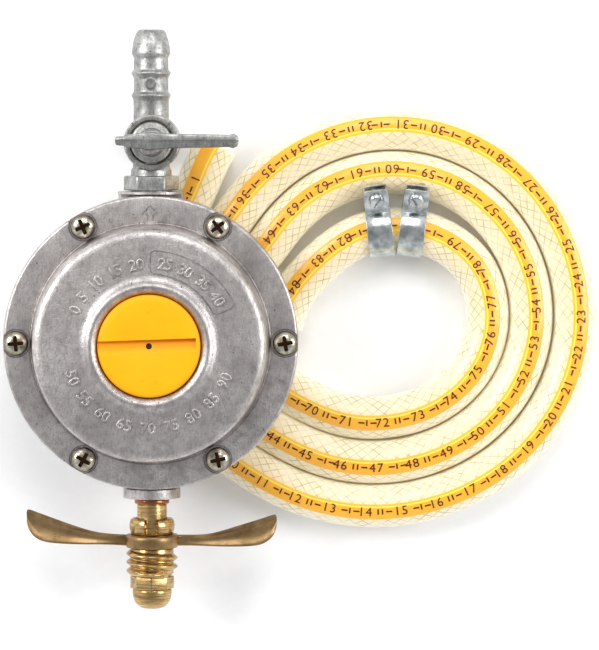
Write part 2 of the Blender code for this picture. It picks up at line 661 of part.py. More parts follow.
def gas_hose(materials):
    """Flexible tube lying in a flat coil of three turns, both ends cut square."""
    first, last = INNER_KNOTS[0][0], TAIL_KNOT[0]
    count = int(round((last - first) / HOSE_STEP))
    curve = bpy.data.curves.new("gas_hose", "CURVE")
    curve.dimensions = "3D"
    curve.bevel_depth = HOSE_R * MM
    curve.bevel_resolution = 3
    curve.use_fill_caps = True
    line = curve.splines.new("POLY")
    line.points.add(count)
    for k in range(count + 1):
        spot = hose_point(first + (last - first) * k / count) * MM
        line.points[k].co = (*spot, 1.0)
    curve.materials.append(materials["clear_pvc"])
    hose = bpy.data.objects.new("gas_hose", curve)
    bpy.context.scene.collection.objects.link(hose)
    return hose


def clamp_place(angle, turn):
    """Local +Z along the hose, local +X away from the coil's centre and leaning up."""
    spot = hose_point(angle) * MM
    around = math.radians(angle + turn)
    run = Vector((math.cos(around), -math.sin(around), 0))
    out = Vector((math.sin(around), math.cos(around), 0))
    lean = math.radians(CLAMP_LEAN)
    ear = out * math.cos(lean) + Vector((0, 0, 1)) * math.sin(lean)
    side = run.cross(ear)
    return Matrix.Translation(spot) @ Matrix((ear, side, run)).transposed().to_4x4()


def clamp(materials, number, angle, turn):
    """Band bent round the hose with two flat ears, a slotted cheese-head screw and a square nut."""
    place = clamp_place(angle, turn)
    half_w = CLAMP_W / 2
    out_r = CLAMP_IN_R + CLAMP_T
    half_gap = EAR_GAP / 2
    opening = math.asin((half_gap + CLAMP_T) / out_r)
    steps = 26
    outer = []
    inner = []
    for k in range(steps + 1):
        a = opening + (2 * math.pi - 2 * opening) * k / steps
        outer.append((out_r * math.cos(a), out_r * math.sin(a)))
    inner_open = math.asin(half_gap / CLAMP_IN_R)
    for k in range(steps + 1):
        a = inner_open + (2 * math.pi - 2 * inner_open) * k / steps
        inner.append((CLAMP_IN_R * math.cos(a), CLAMP_IN_R * math.sin(a)))
    outline = [(EAR_END, half_gap), (EAR_END, half_gap + CLAMP_T)] + outer
    outline += [(EAR_END, -half_gap - CLAMP_T), (EAR_END, -half_gap)] + inner[::-1]
    band = slab(f"clamp_{number}_band", outline, -half_w, half_w, place, materials["plated_steel"])
    screw_axis = place @ Matrix.Translation(Vector((EAR_SCREW, 0, 0)) * MM) @ Matrix.Rotation(-math.pi / 2, 4, "X")
    cut(band, rod(f"clamp_{number}_hole", 1.6, -4, 4, screw_axis, 16))
    seat = half_gap + CLAMP_T + GAP
    outline = [(0, -seat - 2.2), (1.3, -seat - 2.2), (1.3, seat), (CLAMP_HEAD_R, seat), (CLAMP_HEAD_R, seat + 1.0),
               (CLAMP_HEAD_R - 0.4, seat + 1.4), (0, seat + 1.5)]
    screw = turned(f"clamp_{number}_screw", outline, screw_axis, 20, materials["plated_steel"])
    slot = screw_axis @ Matrix.Rotation(math.radians(-35 if number == 1 else 35), 4, "Z")
    cut(screw, box(f"clamp_{number}_slot", (-3, -0.35, seat + 0.7), (3, 0.35, seat + 3), slot))
    nut = slab(f"clamp_{number}_nut", [(-2.2, -2.2), (2.2, -2.2), (2.2, 2.2), (-2.2, 2.2)], -seat - 1.8, -seat, screw_axis,
               materials["plated_steel"])
    cut(nut, rod(f"clamp_{number}_nut_bore", 1.6, -8, 0, screw_axis, 16))
    return band, screw, nut


# ---------------------------------------------------------------- whole assembly

def main():
    clear_scene()
    materials = make_materials()
    lower_body(materials)
    bonnet(materials)
    diaphragm(materials)
    cover_screws(materials)
    adjusting_cap(materials)
    spring_seat(materials)
    main_spring(materials)
    diaphragm_plate(materials)
    diaphragm_stem(materials)
    inner_lever(materials)
    lever_pin(materials)
    inlet_nozzle(materials)
    valve(materials)
    rear_plug(materials)
    inlet_stem(materials)
    inlet_sleeve(materials)
    thrust_washer(materials)
    wing(materials)
    tap_body(materials)
    tap_plug(materials)
    tap_fixings(materials)
    tap_lever(materials)
    gas_hose(materials)
    for number, (angle, turn) in enumerate(zip(CLAMP_ANGLES, CLAMP_TURNS), start=1):
        clamp(materials, number, angle, turn)


main()
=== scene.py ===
"""Looks of a gas regulator with its coiled braided hose and two hose clamps.

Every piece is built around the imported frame: the regulator lies on its back with its cap up, the gas
line runs along +Y, and the hose lies beside it on the same surface. Lengths are in millimetres until a
piece is put in its place.
"""
import json
import logging
import math
from dataclasses import dataclass, field
from enum import Enum
from typing import Any, Callable, Optional, Sequence

import bmesh
import bpy
from mathutils import Matrix, Vector

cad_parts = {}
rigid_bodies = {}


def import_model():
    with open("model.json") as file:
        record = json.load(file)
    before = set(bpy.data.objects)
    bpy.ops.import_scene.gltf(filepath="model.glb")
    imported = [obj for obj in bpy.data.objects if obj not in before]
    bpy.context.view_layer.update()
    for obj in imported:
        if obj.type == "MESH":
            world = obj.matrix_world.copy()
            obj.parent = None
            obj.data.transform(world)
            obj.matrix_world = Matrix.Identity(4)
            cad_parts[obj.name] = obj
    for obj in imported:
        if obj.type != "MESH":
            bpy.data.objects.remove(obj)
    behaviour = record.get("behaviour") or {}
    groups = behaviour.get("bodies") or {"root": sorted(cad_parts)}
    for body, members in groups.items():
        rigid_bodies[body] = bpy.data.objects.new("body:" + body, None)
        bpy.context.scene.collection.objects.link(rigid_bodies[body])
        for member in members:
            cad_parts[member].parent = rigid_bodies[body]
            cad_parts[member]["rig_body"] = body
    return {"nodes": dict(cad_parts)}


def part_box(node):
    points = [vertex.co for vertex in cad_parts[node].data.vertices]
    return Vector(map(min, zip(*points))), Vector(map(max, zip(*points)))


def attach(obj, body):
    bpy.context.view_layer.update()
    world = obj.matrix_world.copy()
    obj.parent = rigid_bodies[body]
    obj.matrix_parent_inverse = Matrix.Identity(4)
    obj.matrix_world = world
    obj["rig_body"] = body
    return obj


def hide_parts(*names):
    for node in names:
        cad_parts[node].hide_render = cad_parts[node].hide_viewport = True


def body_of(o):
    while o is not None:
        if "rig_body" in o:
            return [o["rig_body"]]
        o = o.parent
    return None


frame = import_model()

MM = 0.001
CORNER_STEPS = 3               # straight lengths that a softened corner is drawn with
DOUBLE_MM = 0.002              # corners closer than this are one
FIGURE_DOUBLE_MM = 0.005       # the same for the corners of a figure's outline
CAPITAL = 0.7                  # height of a figure as a share of its text size
LOG = logging.getLogger("regulator")
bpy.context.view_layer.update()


class Axis(Enum):
    """Ways a turned piece can stand: its own +Z goes along one of these."""

    UP = (0.0, 0.0, 1.0)
    LINE = (0.0, 1.0, 0.0)


# ---------------------------------------------------------------- finishes

def linear(code: str) -> tuple[float, float, float, float]:
    """Turn an sRGB hex colour into the linear one that shaders take.

    Args:
        code: six hex digits after a hash sign.

    Returns:
        Red, green, blue and full opacity, from 0 to 1.
    """
    parts = [int(code[k:k + 2], 16) / 255 for k in (1, 3, 5)]
    red, green, blue = (p / 12.92 if p <= 0.04045 else ((p + 0.055) / 1.055) ** 2.4 for p in parts)
    return red, green, blue, 1.0


def per(size_mm: float) -> float:
    """Pattern scale, in repeats per metre, for a feature of this many millimetres."""
    return 1.0 / (size_mm * MM)


def add_node(tree: bpy.types.NodeTree, kind: str, inputs: Optional[dict[Any, Any]] = None,
             stops: Sequence[tuple[float, str]] = (), **settings: Any) -> bpy.types.Node:
    """Add one node with its settings and links.

    Args:
        tree: the material's node tree.
        kind: the node's type.
        inputs: for each input, by name or number, a socket to link or a value to set.
        stops: a colour ramp's places and hex colours.
        settings: the node's own properties.

    Returns:
        The node.
    """
    made = tree.nodes.new(kind)
    for name, value in settings.items():
        setattr(made, name, value)
    if stops:
        elements = made.color_ramp.elements
        while len(elements) < len(stops):
            elements.new(0.5)
        for element, (place, code) in zip(elements, stops):
            element.position = place
            element.color = linear(code)
    for key, value in (inputs or {}).items():
        socket = made.inputs[key]
        if isinstance(value, bpy.types.NodeSocket):
            tree.links.new(value, socket)
        else:
            socket.default_value = value
    return made


@dataclass(frozen=True)
class Finish:
    """What all finishes share: a plain name, and one Principled surface that the finish dresses."""

    name: str = "finish"

    def material(self) -> bpy.types.Material:
        """Make the material once and hand back the same one after that.

        Returns:
            The material with its nodes.
        """
        known = bpy.data.materials.get("finish_" + self.name)
        if known:
            return known
        made = bpy.data.materials.new("finish_" + self.name)
        made.use_nodes = True
        tree = made.node_tree
        tree.nodes.clear()
        shader = add_node(tree, "ShaderNodeBsdfPrincipled")
        add_node(tree, "ShaderNodeOutputMaterial", {"Surface": shader.outputs[0]})
        self.dress(tree, shader)
        return made

    def dress(self, tree: bpy.types.NodeTree, shader: bpy.types.Node) -> None:
        """Set the surface's own values and patterns; each finish has its own."""
        raise NotImplementedError

    @staticmethod
    def grain(tree: bpy.types.NodeTree, size_mm: float, detail: float = 4.0,
              stretch: Sequence[float] = (1, 1, 1), roughness: float = 0.55) -> bpy.types.NodeSocket:
        """Noise on the piece's own coordinates.

        Args:
            tree: the material's node tree.
            size_mm: the size of its lumps.
            detail: how many finer layers it has.
            stretch: scale along x, y and z, for drawn or turned marks.
            roughness: how strong the finer layers are.

        Returns:
            The socket with values round 0.5.
        """
        place = add_node(tree, "ShaderNodeTexCoord").outputs["Object"]
        place = add_node(tree, "ShaderNodeMapping", {"Vector": place, "Scale": tuple(stretch)}).outputs[0]
        return add_node(tree, "ShaderNodeTexNoise", {
            "Vector": place, "Scale": per(size_mm), "Detail": detail, "Roughness": roughness}).outputs[0]

    @staticmethod
    def spread(tree: bpy.types.NodeTree, value: bpy.types.NodeSocket, low: float, high: float,
               start: float = 0.3, end: float = 0.7) -> bpy.types.NodeSocket:
        """Spread a pattern's range from start..end to low..high, held at both ends."""
        return add_node(tree, "ShaderNodeMapRange", {0: value, 1: start, 2: end, 3: low, 4: high}).outputs[0]

    @staticmethod
    def blend(tree: bpy.types.NodeTree, share: bpy.types.NodeSocket, first: Any, second: Any,
              way: str = "MIX") -> bpy.types.NodeSocket:
        """Mix two colours, each a hex code or a socket, by a share.

        Args:
            tree: the material's node tree.
            share: 0 for the first colour and 1 for the second.
            first: hex code or colour socket.
            second: hex code or colour socket.
            way: the mixing rule.

        Returns:
            The mixed colour's socket.
        """
        ends = [linear(c) if isinstance(c, str) else c for c in (first, second)]
        return add_node(tree, "ShaderNodeMix", {0: share, 6: ends[0], 7: ends[1]}, data_type="RGBA",
                        blend_type=way).outputs[2]

    @staticmethod
    def sum_of(tree: bpy.types.NodeTree, *parts: tuple[Any, float]) -> bpy.types.NodeSocket:
        """Add up patterns, each with its weight."""
        total: Any = 0.0
        for value, weight in parts:
            total = add_node(tree, "ShaderNodeMath", {0: value, 1: weight, 2: total},
                             operation="MULTIPLY_ADD").outputs[0]
        return total

    def sunk(self, tree: bpy.types.NodeTree, low_mm: float, high_mm: float) -> bpy.types.NodeSocket:
        """How deep a spot lies under a face.

        Args:
            tree: the material's node tree.
            low_mm: height over the surface at which the share is 1.
            high_mm: height at which it is 0.

        Returns:
            The share.
        """
        place = add_node(tree, "ShaderNodeTexCoord").outputs["Object"]
        height = add_node(tree, "ShaderNodeSeparateXYZ", {0: place}).outputs["Z"]
        return self.spread(tree, height, 1.0, 0.0, low_mm * MM, high_mm * MM)

    @staticmethod
    def relief(tree: bpy.types.NodeTree, shader: bpy.types.Node, height: bpy.types.NodeSocket,
               depth_mm: float, strength: float = 1.0) -> None:
        """Raise the surface by a pattern, depth_mm being the height from its 0 to its 1."""
        bump = add_node(tree, "ShaderNodeBump",
                        {"Height": height, "Distance": depth_mm * MM, "Strength": strength})
        tree.links.new(bump.outputs[0], shader.inputs["Normal"])


@dataclass(frozen=True)
class CastZinc(Finish):
    """Zinc alloy, pressure die cast and left as cast.

    It gives the eye a satin grey skin with soft flow marks, fine grain, scuffs and small dark pits.
    """

    name: str = "die_cast_zinc"
    bright: str = "#E4DEDA"
    dull: str = "#B4AEAB"
    smudge: str = "#7A7474"
    pit: str = "#322D2D"
    pit_mm: float = 1.5
    grain_mm: float = 0.45
    smudge_mm: float = 2.6
    scuff_mm: float = 0.9
    flow_mm: float = 8.0
    spot_share: float = 0.17
    speck_share: float = 0.16

    def dress(self, tree: bpy.types.NodeTree, shader: bpy.types.Node) -> None:
        """Satin metal whose grey wanders, with pits that break its shine."""
        flow = self.grain(tree, self.flow_mm, 5.0, (1, 0.6, 1))
        fine = self.grain(tree, self.grain_mm, 3.0)
        colour = self.blend(tree, self.spread(tree, flow, 0, 1, 0.35, 0.68), self.bright, self.dull)
        colour = self.blend(tree, self.spread(tree, fine, 0.0, 0.75, 0.40, 0.68), colour, self.dull)
        smear = self.grain(tree, self.smudge_mm, 9.0, (1, 1, 1), 0.72)
        colour = self.blend(tree, self.spread(tree, smear, 0.0, 0.8, 0.44, 0.74), colour, self.smudge)
        scuff = self.grain(tree, self.scuff_mm, 6.0, (1.6, 0.5, 1), 0.7)
        colour = self.blend(tree, self.spread(tree, scuff, 0.0, 0.55, 0.48, 0.70), colour, self.smudge)
        pits = self.spots(tree, self.pit_mm, self.spot_share)
        specks = self.spots(tree, self.pit_mm * 0.5, self.speck_share)
        marks = add_node(tree, "ShaderNodeMath", {0: pits, 1: specks}, operation="MAXIMUM").outputs[0]
        share = add_node(tree, "ShaderNodeMath", {0: marks, 1: 0.85}, operation="MULTIPLY").outputs[0]
        tree.links.new(self.blend(tree, share, colour, self.pit), shader.inputs["Base Color"])
        rough = self.sum_of(tree, (fine, 0.26), (smear, 0.30), (marks, 0.25), (1.0, 0.12))
        tree.links.new(rough, shader.inputs["Roughness"])
        shader.inputs["Metallic"].default_value = 1.0
        height = self.sum_of(tree, (fine, 0.55), (smear, 0.5), (flow, 1.0), (marks, -1.0))
        self.relief(tree, shader, height, 0.12, 1.0)

    def spots(self, tree: bpy.types.NodeTree, cell_mm: float, size: float) -> bpy.types.NodeSocket:
        """Scattered round spots, one in some cells of this size.

        Args:
            tree: the material's node tree.
            cell_mm: distance between neighbouring cells.
            size: a spot's radius as a share of its cell.

        Returns:
            1 inside a spot and 0 outside.
        """
        place = add_node(tree, "ShaderNodeTexCoord").outputs["Object"]
        cells = add_node(tree, "ShaderNodeTexVoronoi", {"Vector": place, "Scale": per(cell_mm)})
        pick = add_node(tree, "ShaderNodeSeparateColor", {0: cells.outputs["Color"]}).outputs[0]
        radius = self.spread(tree, pick, 0.0, size, 0.55, 1.0)
        inside = add_node(tree, "ShaderNodeMath", {0: radius, 1: cells.outputs["Distance"]},
                          operation="SUBTRACT").outputs[0]
        return self.spread(tree, inside, 0, 1, 0.0, 0.03)


@dataclass(frozen=True)
class MouldedPlastic(Finish):
    """Injection-moulded ABS, coloured through.

    It gives the eye an even colour with a soft satin shine, faint sink and a few handling marks, and painted
    shade: a deeper colour below its face, down in a recess.
    """

    name: str = "moulded_yellow_abs"
    base: str = "#FFAF00"
    shade: str = "#FDA500"
    # painted shade, for below the cap's face
    deep: str = "#D88200"
    handled: str = "#C98500"
    face_mm: float = 45.0
    sunk_mm: float = 43.9
    rough: float = 0.50
    sink_mm: float = 6.0
    skin_mm: float = 0.5

    def dress(self, tree: bpy.types.NodeTree, shader: bpy.types.Node) -> None:
        """A clear colour that deepens a little in places, with painted shade below the face, on a skin that
        is never quite flat.
        """
        sink = self.grain(tree, self.sink_mm, 3.0)
        skin = self.grain(tree, self.skin_mm, 3.0)
        colour = self.blend(tree, self.spread(tree, sink, 0, 0.7, 0.4, 0.75), self.base, self.shade)
        colour = self.blend(tree, self.spread(tree, skin, 0, 0.35, 0.62, 0.78), colour, self.handled)
        # painted shade: a deeper orange below the cap's face, in the coin slot and down the side in its well
        colour = self.blend(tree, self.sunk(tree, self.sunk_mm, self.face_mm), colour, self.deep)
        tree.links.new(colour, shader.inputs["Base Color"])
        rough = self.sum_of(tree, (skin, 0.16), (1.0, self.rough - 0.08))
        tree.links.new(rough, shader.inputs["Roughness"])
        shader.inputs["IOR"].default_value = 1.53
        shader.inputs["Specular IOR Level"].default_value = 0.25
        self.relief(tree, shader, self.sum_of(tree, (sink, 1.0), (skin, 0.12)), 0.10, 0.6)


@dataclass(frozen=True)
class TurnedMetal(Finish):
    """Metal cut on a lathe.

    It gives the eye fine rings round its axis, brighter on their crests, and darker handling stains.
    """

    name: str = "turned_brass"
    bright: str = "#D9BC86"
    dull: str = "#9F7B48"
    stain: str = "#5E3F1C"
    rough: float = 0.20
    mark_mm: float = 0.30
    along: tuple[float, float, float] = (0.06, 1.0, 0.06)

    def dress(self, tree: bpy.types.NodeTree, shader: bpy.types.Node) -> None:
        """Lathe rings in shine and relief, and darker patches where hands and flux have been."""
        rings = self.grain(tree, self.mark_mm, 2.0, self.along)
        patch = self.grain(tree, 3.2, 5.0)
        colour = self.blend(tree, self.spread(tree, rings, 0, 1, 0.35, 0.65), self.bright, self.dull)
        colour = self.blend(tree, self.spread(tree, patch, 0, 0.75, 0.55, 0.78), colour, self.stain)
        tree.links.new(colour, shader.inputs["Base Color"])
        rough = self.sum_of(tree, (rings, 0.14), (patch, 0.20), (1.0, self.rough - 0.12))
        tree.links.new(rough, shader.inputs["Roughness"])
        shader.inputs["Metallic"].default_value = 1.0
        self.relief(tree, shader, rings, 0.015, 0.7)


@dataclass(frozen=True)
class PlatedSteel(Finish):
    """Pressed steel with an electroplated coat.

    It gives the eye a smooth bright skin with faint draw marks and a clouded sheen, and grime with painted
    shade below a given height where a screw sits in its seat.
    """

    name: str = "bright_zinc_plate"
    bright: str = "#E2E6E5"
    cloud: str = "#8E9695"
    tint: str = "#7C7A70"
    rough: float = 0.20
    cloud_mm: float = 3.0
    mark_mm: float = 0.25
    along: tuple[float, float, float] = (1.0, 1.0, 1.0)
    # grime and painted shade, for a screw's recess and seat
    grime: str = ""
    grime_low_mm: float = 0.0
    grime_high_mm: float = 0.0

    def dress(self, tree: bpy.types.NodeTree, shader: bpy.types.Node) -> None:
        """A coat whose clouding shows as soft patches of shine."""
        cloud = self.grain(tree, self.cloud_mm, 4.0)
        marks = self.grain(tree, self.mark_mm, 3.0, self.along)
        colour = self.blend(tree, self.spread(tree, cloud, 0, 1, 0.35, 0.7), self.bright, self.cloud)
        colour = self.blend(tree, self.spread(tree, marks, 0, 0.6, 0.58, 0.75), colour, self.tint)
        # grime and painted shade: darker and browner below a given height, in a screw's recess and round its
        # seat
        if self.grime:
            below = self.sunk(tree, self.grime_low_mm, self.grime_high_mm)
            colour = self.blend(tree, below, colour, self.grime)
        tree.links.new(colour, shader.inputs["Base Color"])
        rough = self.sum_of(tree, (cloud, 0.18), (marks, 0.12), (1.0, self.rough - 0.13))
        tree.links.new(rough, shader.inputs["Roughness"])
        shader.inputs["Metallic"].default_value = 1.0
        self.relief(tree, shader, self.sum_of(tree, (cloud, 1.0), (marks, 0.25)), 0.03, 0.6)


@dataclass(frozen=True)
class BraidedPvc(Finish):
    """Clear PVC tube over a spiral-laid polyester braid.

    It gives the eye a cream wall with threads that cross under a glossy skin, and an inked-in stripe. Painted
    light
    lies on it too: a warmer top, paler flanks, a highlight along the stripe's inner edge and a faint glow.
    The threads are laid coarser than real ones, so that they show. The hose's own map gives millimetres along
    it and round it, from the top outwards.
    """

    name: str = "braided_pvc"
    wall: str = "#F4DFB6"
    # painted light: the paler colour that the tube's flanks are shaded to
    side: str = "#FDF7E6"
    thread: str = "#B9A67C"
    stripe: str = "#FFB400"
    # painted highlight along the stripe's inner edge, in a bright core and a paler fringe
    stripe_light: str = "#FFE060"
    stripe_dark: str = "#FFC414"
    cloud: str = "#F3E3B4"
    # painted glow, the colour of the hose's faint emission
    passed_light: str = "#F4DDA8"
    cloud_mm: float = 4.0
    stripe_at: float = 1.3
    stripe_width: float = 4.5
    stripe_edge: float = 0.05
    cell_along: float = 3.4
    cells_round: int = 14
    girth: float = 38.3
    thread_mm: float = 0.36

    def dress(self, tree: bpy.types.NodeTree, shader: bpy.types.Node) -> None:
        """Threads, then the inked-in stripe over them with its painted highlight, under one smooth skin, on a
        wall with painted light.
        """
        spot = add_node(tree, "ShaderNodeUVMap", uv_map="lay").outputs[0]
        split = add_node(tree, "ShaderNodeSeparateXYZ", {0: spot})
        along, around = split.outputs[0], split.outputs[1]
        threads = None
        half = self.thread_mm / self.cell_along / 2
        for hand in (1.0, -1.0):
            phase = self.sum_of(tree, (along, 1.0 / self.cell_along),
                                (around, hand * self.cells_round / self.girth))
            part = add_node(tree, "ShaderNodeMath", {0: phase}, operation="FRACT").outputs[0]
            away = add_node(tree, "ShaderNodeMath", {0: part, 1: 0.5}, operation="SUBTRACT").outputs[0]
            away = add_node(tree, "ShaderNodeMath", {0: away}, operation="ABSOLUTE").outputs[0]
            line = self.spread(tree, away, 0, 1, 0.5 - 1.7 * half, 0.5 - 0.6 * half)
            if threads is None:
                threads = line
            else:
                threads = add_node(tree, "ShaderNodeMath", {0: threads, 1: line},
                                   operation="MAXIMUM").outputs[0]
        cloud = self.grain(tree, self.cloud_mm, 3.0)
        # painted light: the wall a warmer cream at the top near the stripe, paler towards its flanks
        off = add_node(tree, "ShaderNodeMath", {0: around}, operation="ABSOLUTE").outputs[0]
        colour = self.blend(tree, self.spread(tree, off, 0, 1, 1.5, 8.0), self.wall, self.side)
        colour = self.blend(tree, self.spread(tree, cloud, 0, 0.4, 0.4, 0.75), colour, self.cloud)
        worn = self.spread(tree, self.grain(tree, self.cloud_mm, 4.0), 0.15, 1.0, 0.38, 0.66)
        share = add_node(tree, "ShaderNodeMath", {0: threads, 1: worn}, operation="MULTIPLY").outputs[0]
        colour = self.blend(tree, share, colour, self.thread)
        # the stripe's own yellow, then a painted highlight over it: two lighter bands along its inner edge,
        # near the tube's top
        low, high = self.stripe_at - self.stripe_width / 2, self.stripe_at + self.stripe_width / 2
        for start, end, code in ((low, high, self.stripe), (low, low + 0.55, self.stripe_dark),
                                 (low + 0.55, low + 1.0, self.stripe_light)):
            colour = self.blend(tree, self.band(tree, around, start, end), colour, code)
        tree.links.new(colour, shader.inputs["Base Color"])
        shader.inputs["Roughness"].default_value = 0.28
        shader.inputs["IOR"].default_value = 1.53
        shader.inputs["Subsurface Weight"].default_value = 0.5
        shader.inputs["Subsurface Radius"].default_value = (1.0, 0.85, 0.6)
        shader.inputs["Subsurface Scale"].default_value = 3.4 * MM
        # painted glow: a faint emission that stands in for the light the clear wall passes on from the pale
        # surface under it
        shader.inputs["Emission Color"].default_value = linear(self.passed_light)
        shader.inputs["Emission Strength"].default_value = 0.07
        shader.inputs["Coat Weight"].default_value = 0.3
        shader.inputs["Coat Roughness"].default_value = 0.12
        self.relief(tree, shader, self.sum_of(tree, (threads, 1.0), (cloud, 0.5)), 0.06, 0.5)

    def band(self, tree: bpy.types.NodeTree, value: bpy.types.NodeSocket, start: float,
             end: float) -> bpy.types.NodeSocket:
        """1 where a value lies between start and end, with a soft edge."""
        rise = self.spread(tree, value, 0, 1, start - self.stripe_edge, start + self.stripe_edge)
        fall = self.spread(tree, value, 1, 0, end - self.stripe_edge, end + self.stripe_edge)
        return add_node(tree, "ShaderNodeMath", {0: rise, 1: fall}, operation="MULTIPLY").outputs[0]


@dataclass(frozen=True)
class SoftGoods(Finish):
    """Rubber, ink, fibre or painted board.

    It gives the eye a matt skin with a fine mottle in its colour and its relief.
    """

    name: str = "black_rubber"
    base: str = "#1B1A19"
    fleck: str = "#34312E"
    rough: float = 0.7
    fleck_mm: float = 0.4

    def dress(self, tree: bpy.types.NodeTree, shader: bpy.types.Node) -> None:
        """A matt skin whose flecks lift the colour a little."""
        fleck = self.grain(tree, self.fleck_mm, 4.0)
        colour = self.blend(tree, self.spread(tree, fleck, 0, 1, 0.45, 0.75), self.base, self.fleck)
        tree.links.new(colour, shader.inputs["Base Color"])
        rough = self.sum_of(tree, (fleck, 0.2), (1.0, self.rough - 0.1))
        tree.links.new(rough, shader.inputs["Roughness"])
        shader.inputs["IOR"].default_value = 1.5
        self.relief(tree, shader, fleck, 0.03, 0.6)


# zinc die castings of the round body, pale and mottled
ZINC = CastZinc()
# yellow moulded cap, an even warm yellow
YELLOW = MouldedPlastic()
# the tap's castings, a shade darker and duller than the body's
TAP_ZINC = CastZinc(name="die_cast_zinc_dark", bright="#D2D2CE", dull="#9A9A97", smudge="#585755")
# turned brass, straw yellow with brown stains
BRASS = TurnedMetal()
# turned copper seal, red-brown
COPPER = TurnedMetal(name="copper", bright="#B8744A", dull="#8A4F2E", stain="#552A16")
# bright zinc plate of the clamps, cool and shiny
CLAMP_PLATE = PlatedSteel()
# passivated pressing of the wing, dull tan with drawn marks across it
WING_PLATE = PlatedSteel(name="yellow_passivated_steel", bright="#A88A62", cloud="#78603F", tint="#4A3722",
                         rough=0.36, cloud_mm=6.0, mark_mm=0.4, along=(0.3, 1.0, 1.0))
# plated cover screws, bright on top, and brown in their recess and seat with grime and painted shade
SCREW_PLATE = PlatedSteel(name="screw_plate", bright="#DEDBCF", cloud="#A69B7C", tint="#5E5236", rough=0.20,
                          cloud_mm=1.3, grime="#4A3120", grime_low_mm=31.6, grime_high_mm=32.5)
# steel pressings inside, a flat cool grey
INNER_PLATE = PlatedSteel(name="inner_steel_plate", bright="#C9CDD2", cloud="#A0A6AC", tint="#7C7A74",
                          rough=0.32)
# hard-drawn wire, dark grey with a dim shine
SPRING = PlatedSteel(name="drawn_spring_steel", bright="#8C9096", cloud="#6A6E74", tint="#4C4A46",
                     rough=0.28, cloud_mm=2.0)
# the hose, cream with a yellow stripe
HOSE_WALL = BraidedPvc()
# black rubber of the diaphragm and the seals, matt
RUBBER = SoftGoods()
# printing ink on the stripe, dark maroon
INK = SoftGoods(name="maroon_ink", base="#4B0A04", fleck="#6A1A0C", rough=0.5, fleck_mm=0.2)
# pressed fibre washer, dull red
FIBRE = SoftGoods(name="red_fibre", base="#8A3226", fleck="#A5503C", rough=0.75, fleck_mm=0.3)
# the board that the set lies on, near white and matt
FLOOR = SoftGoods(name="white_board", base="#FCFCFC", fleck="#FFFFFF", rough=0.6, fleck_mm=3.0)


# ---------------------------------------------------------------- bench: modelling by hand

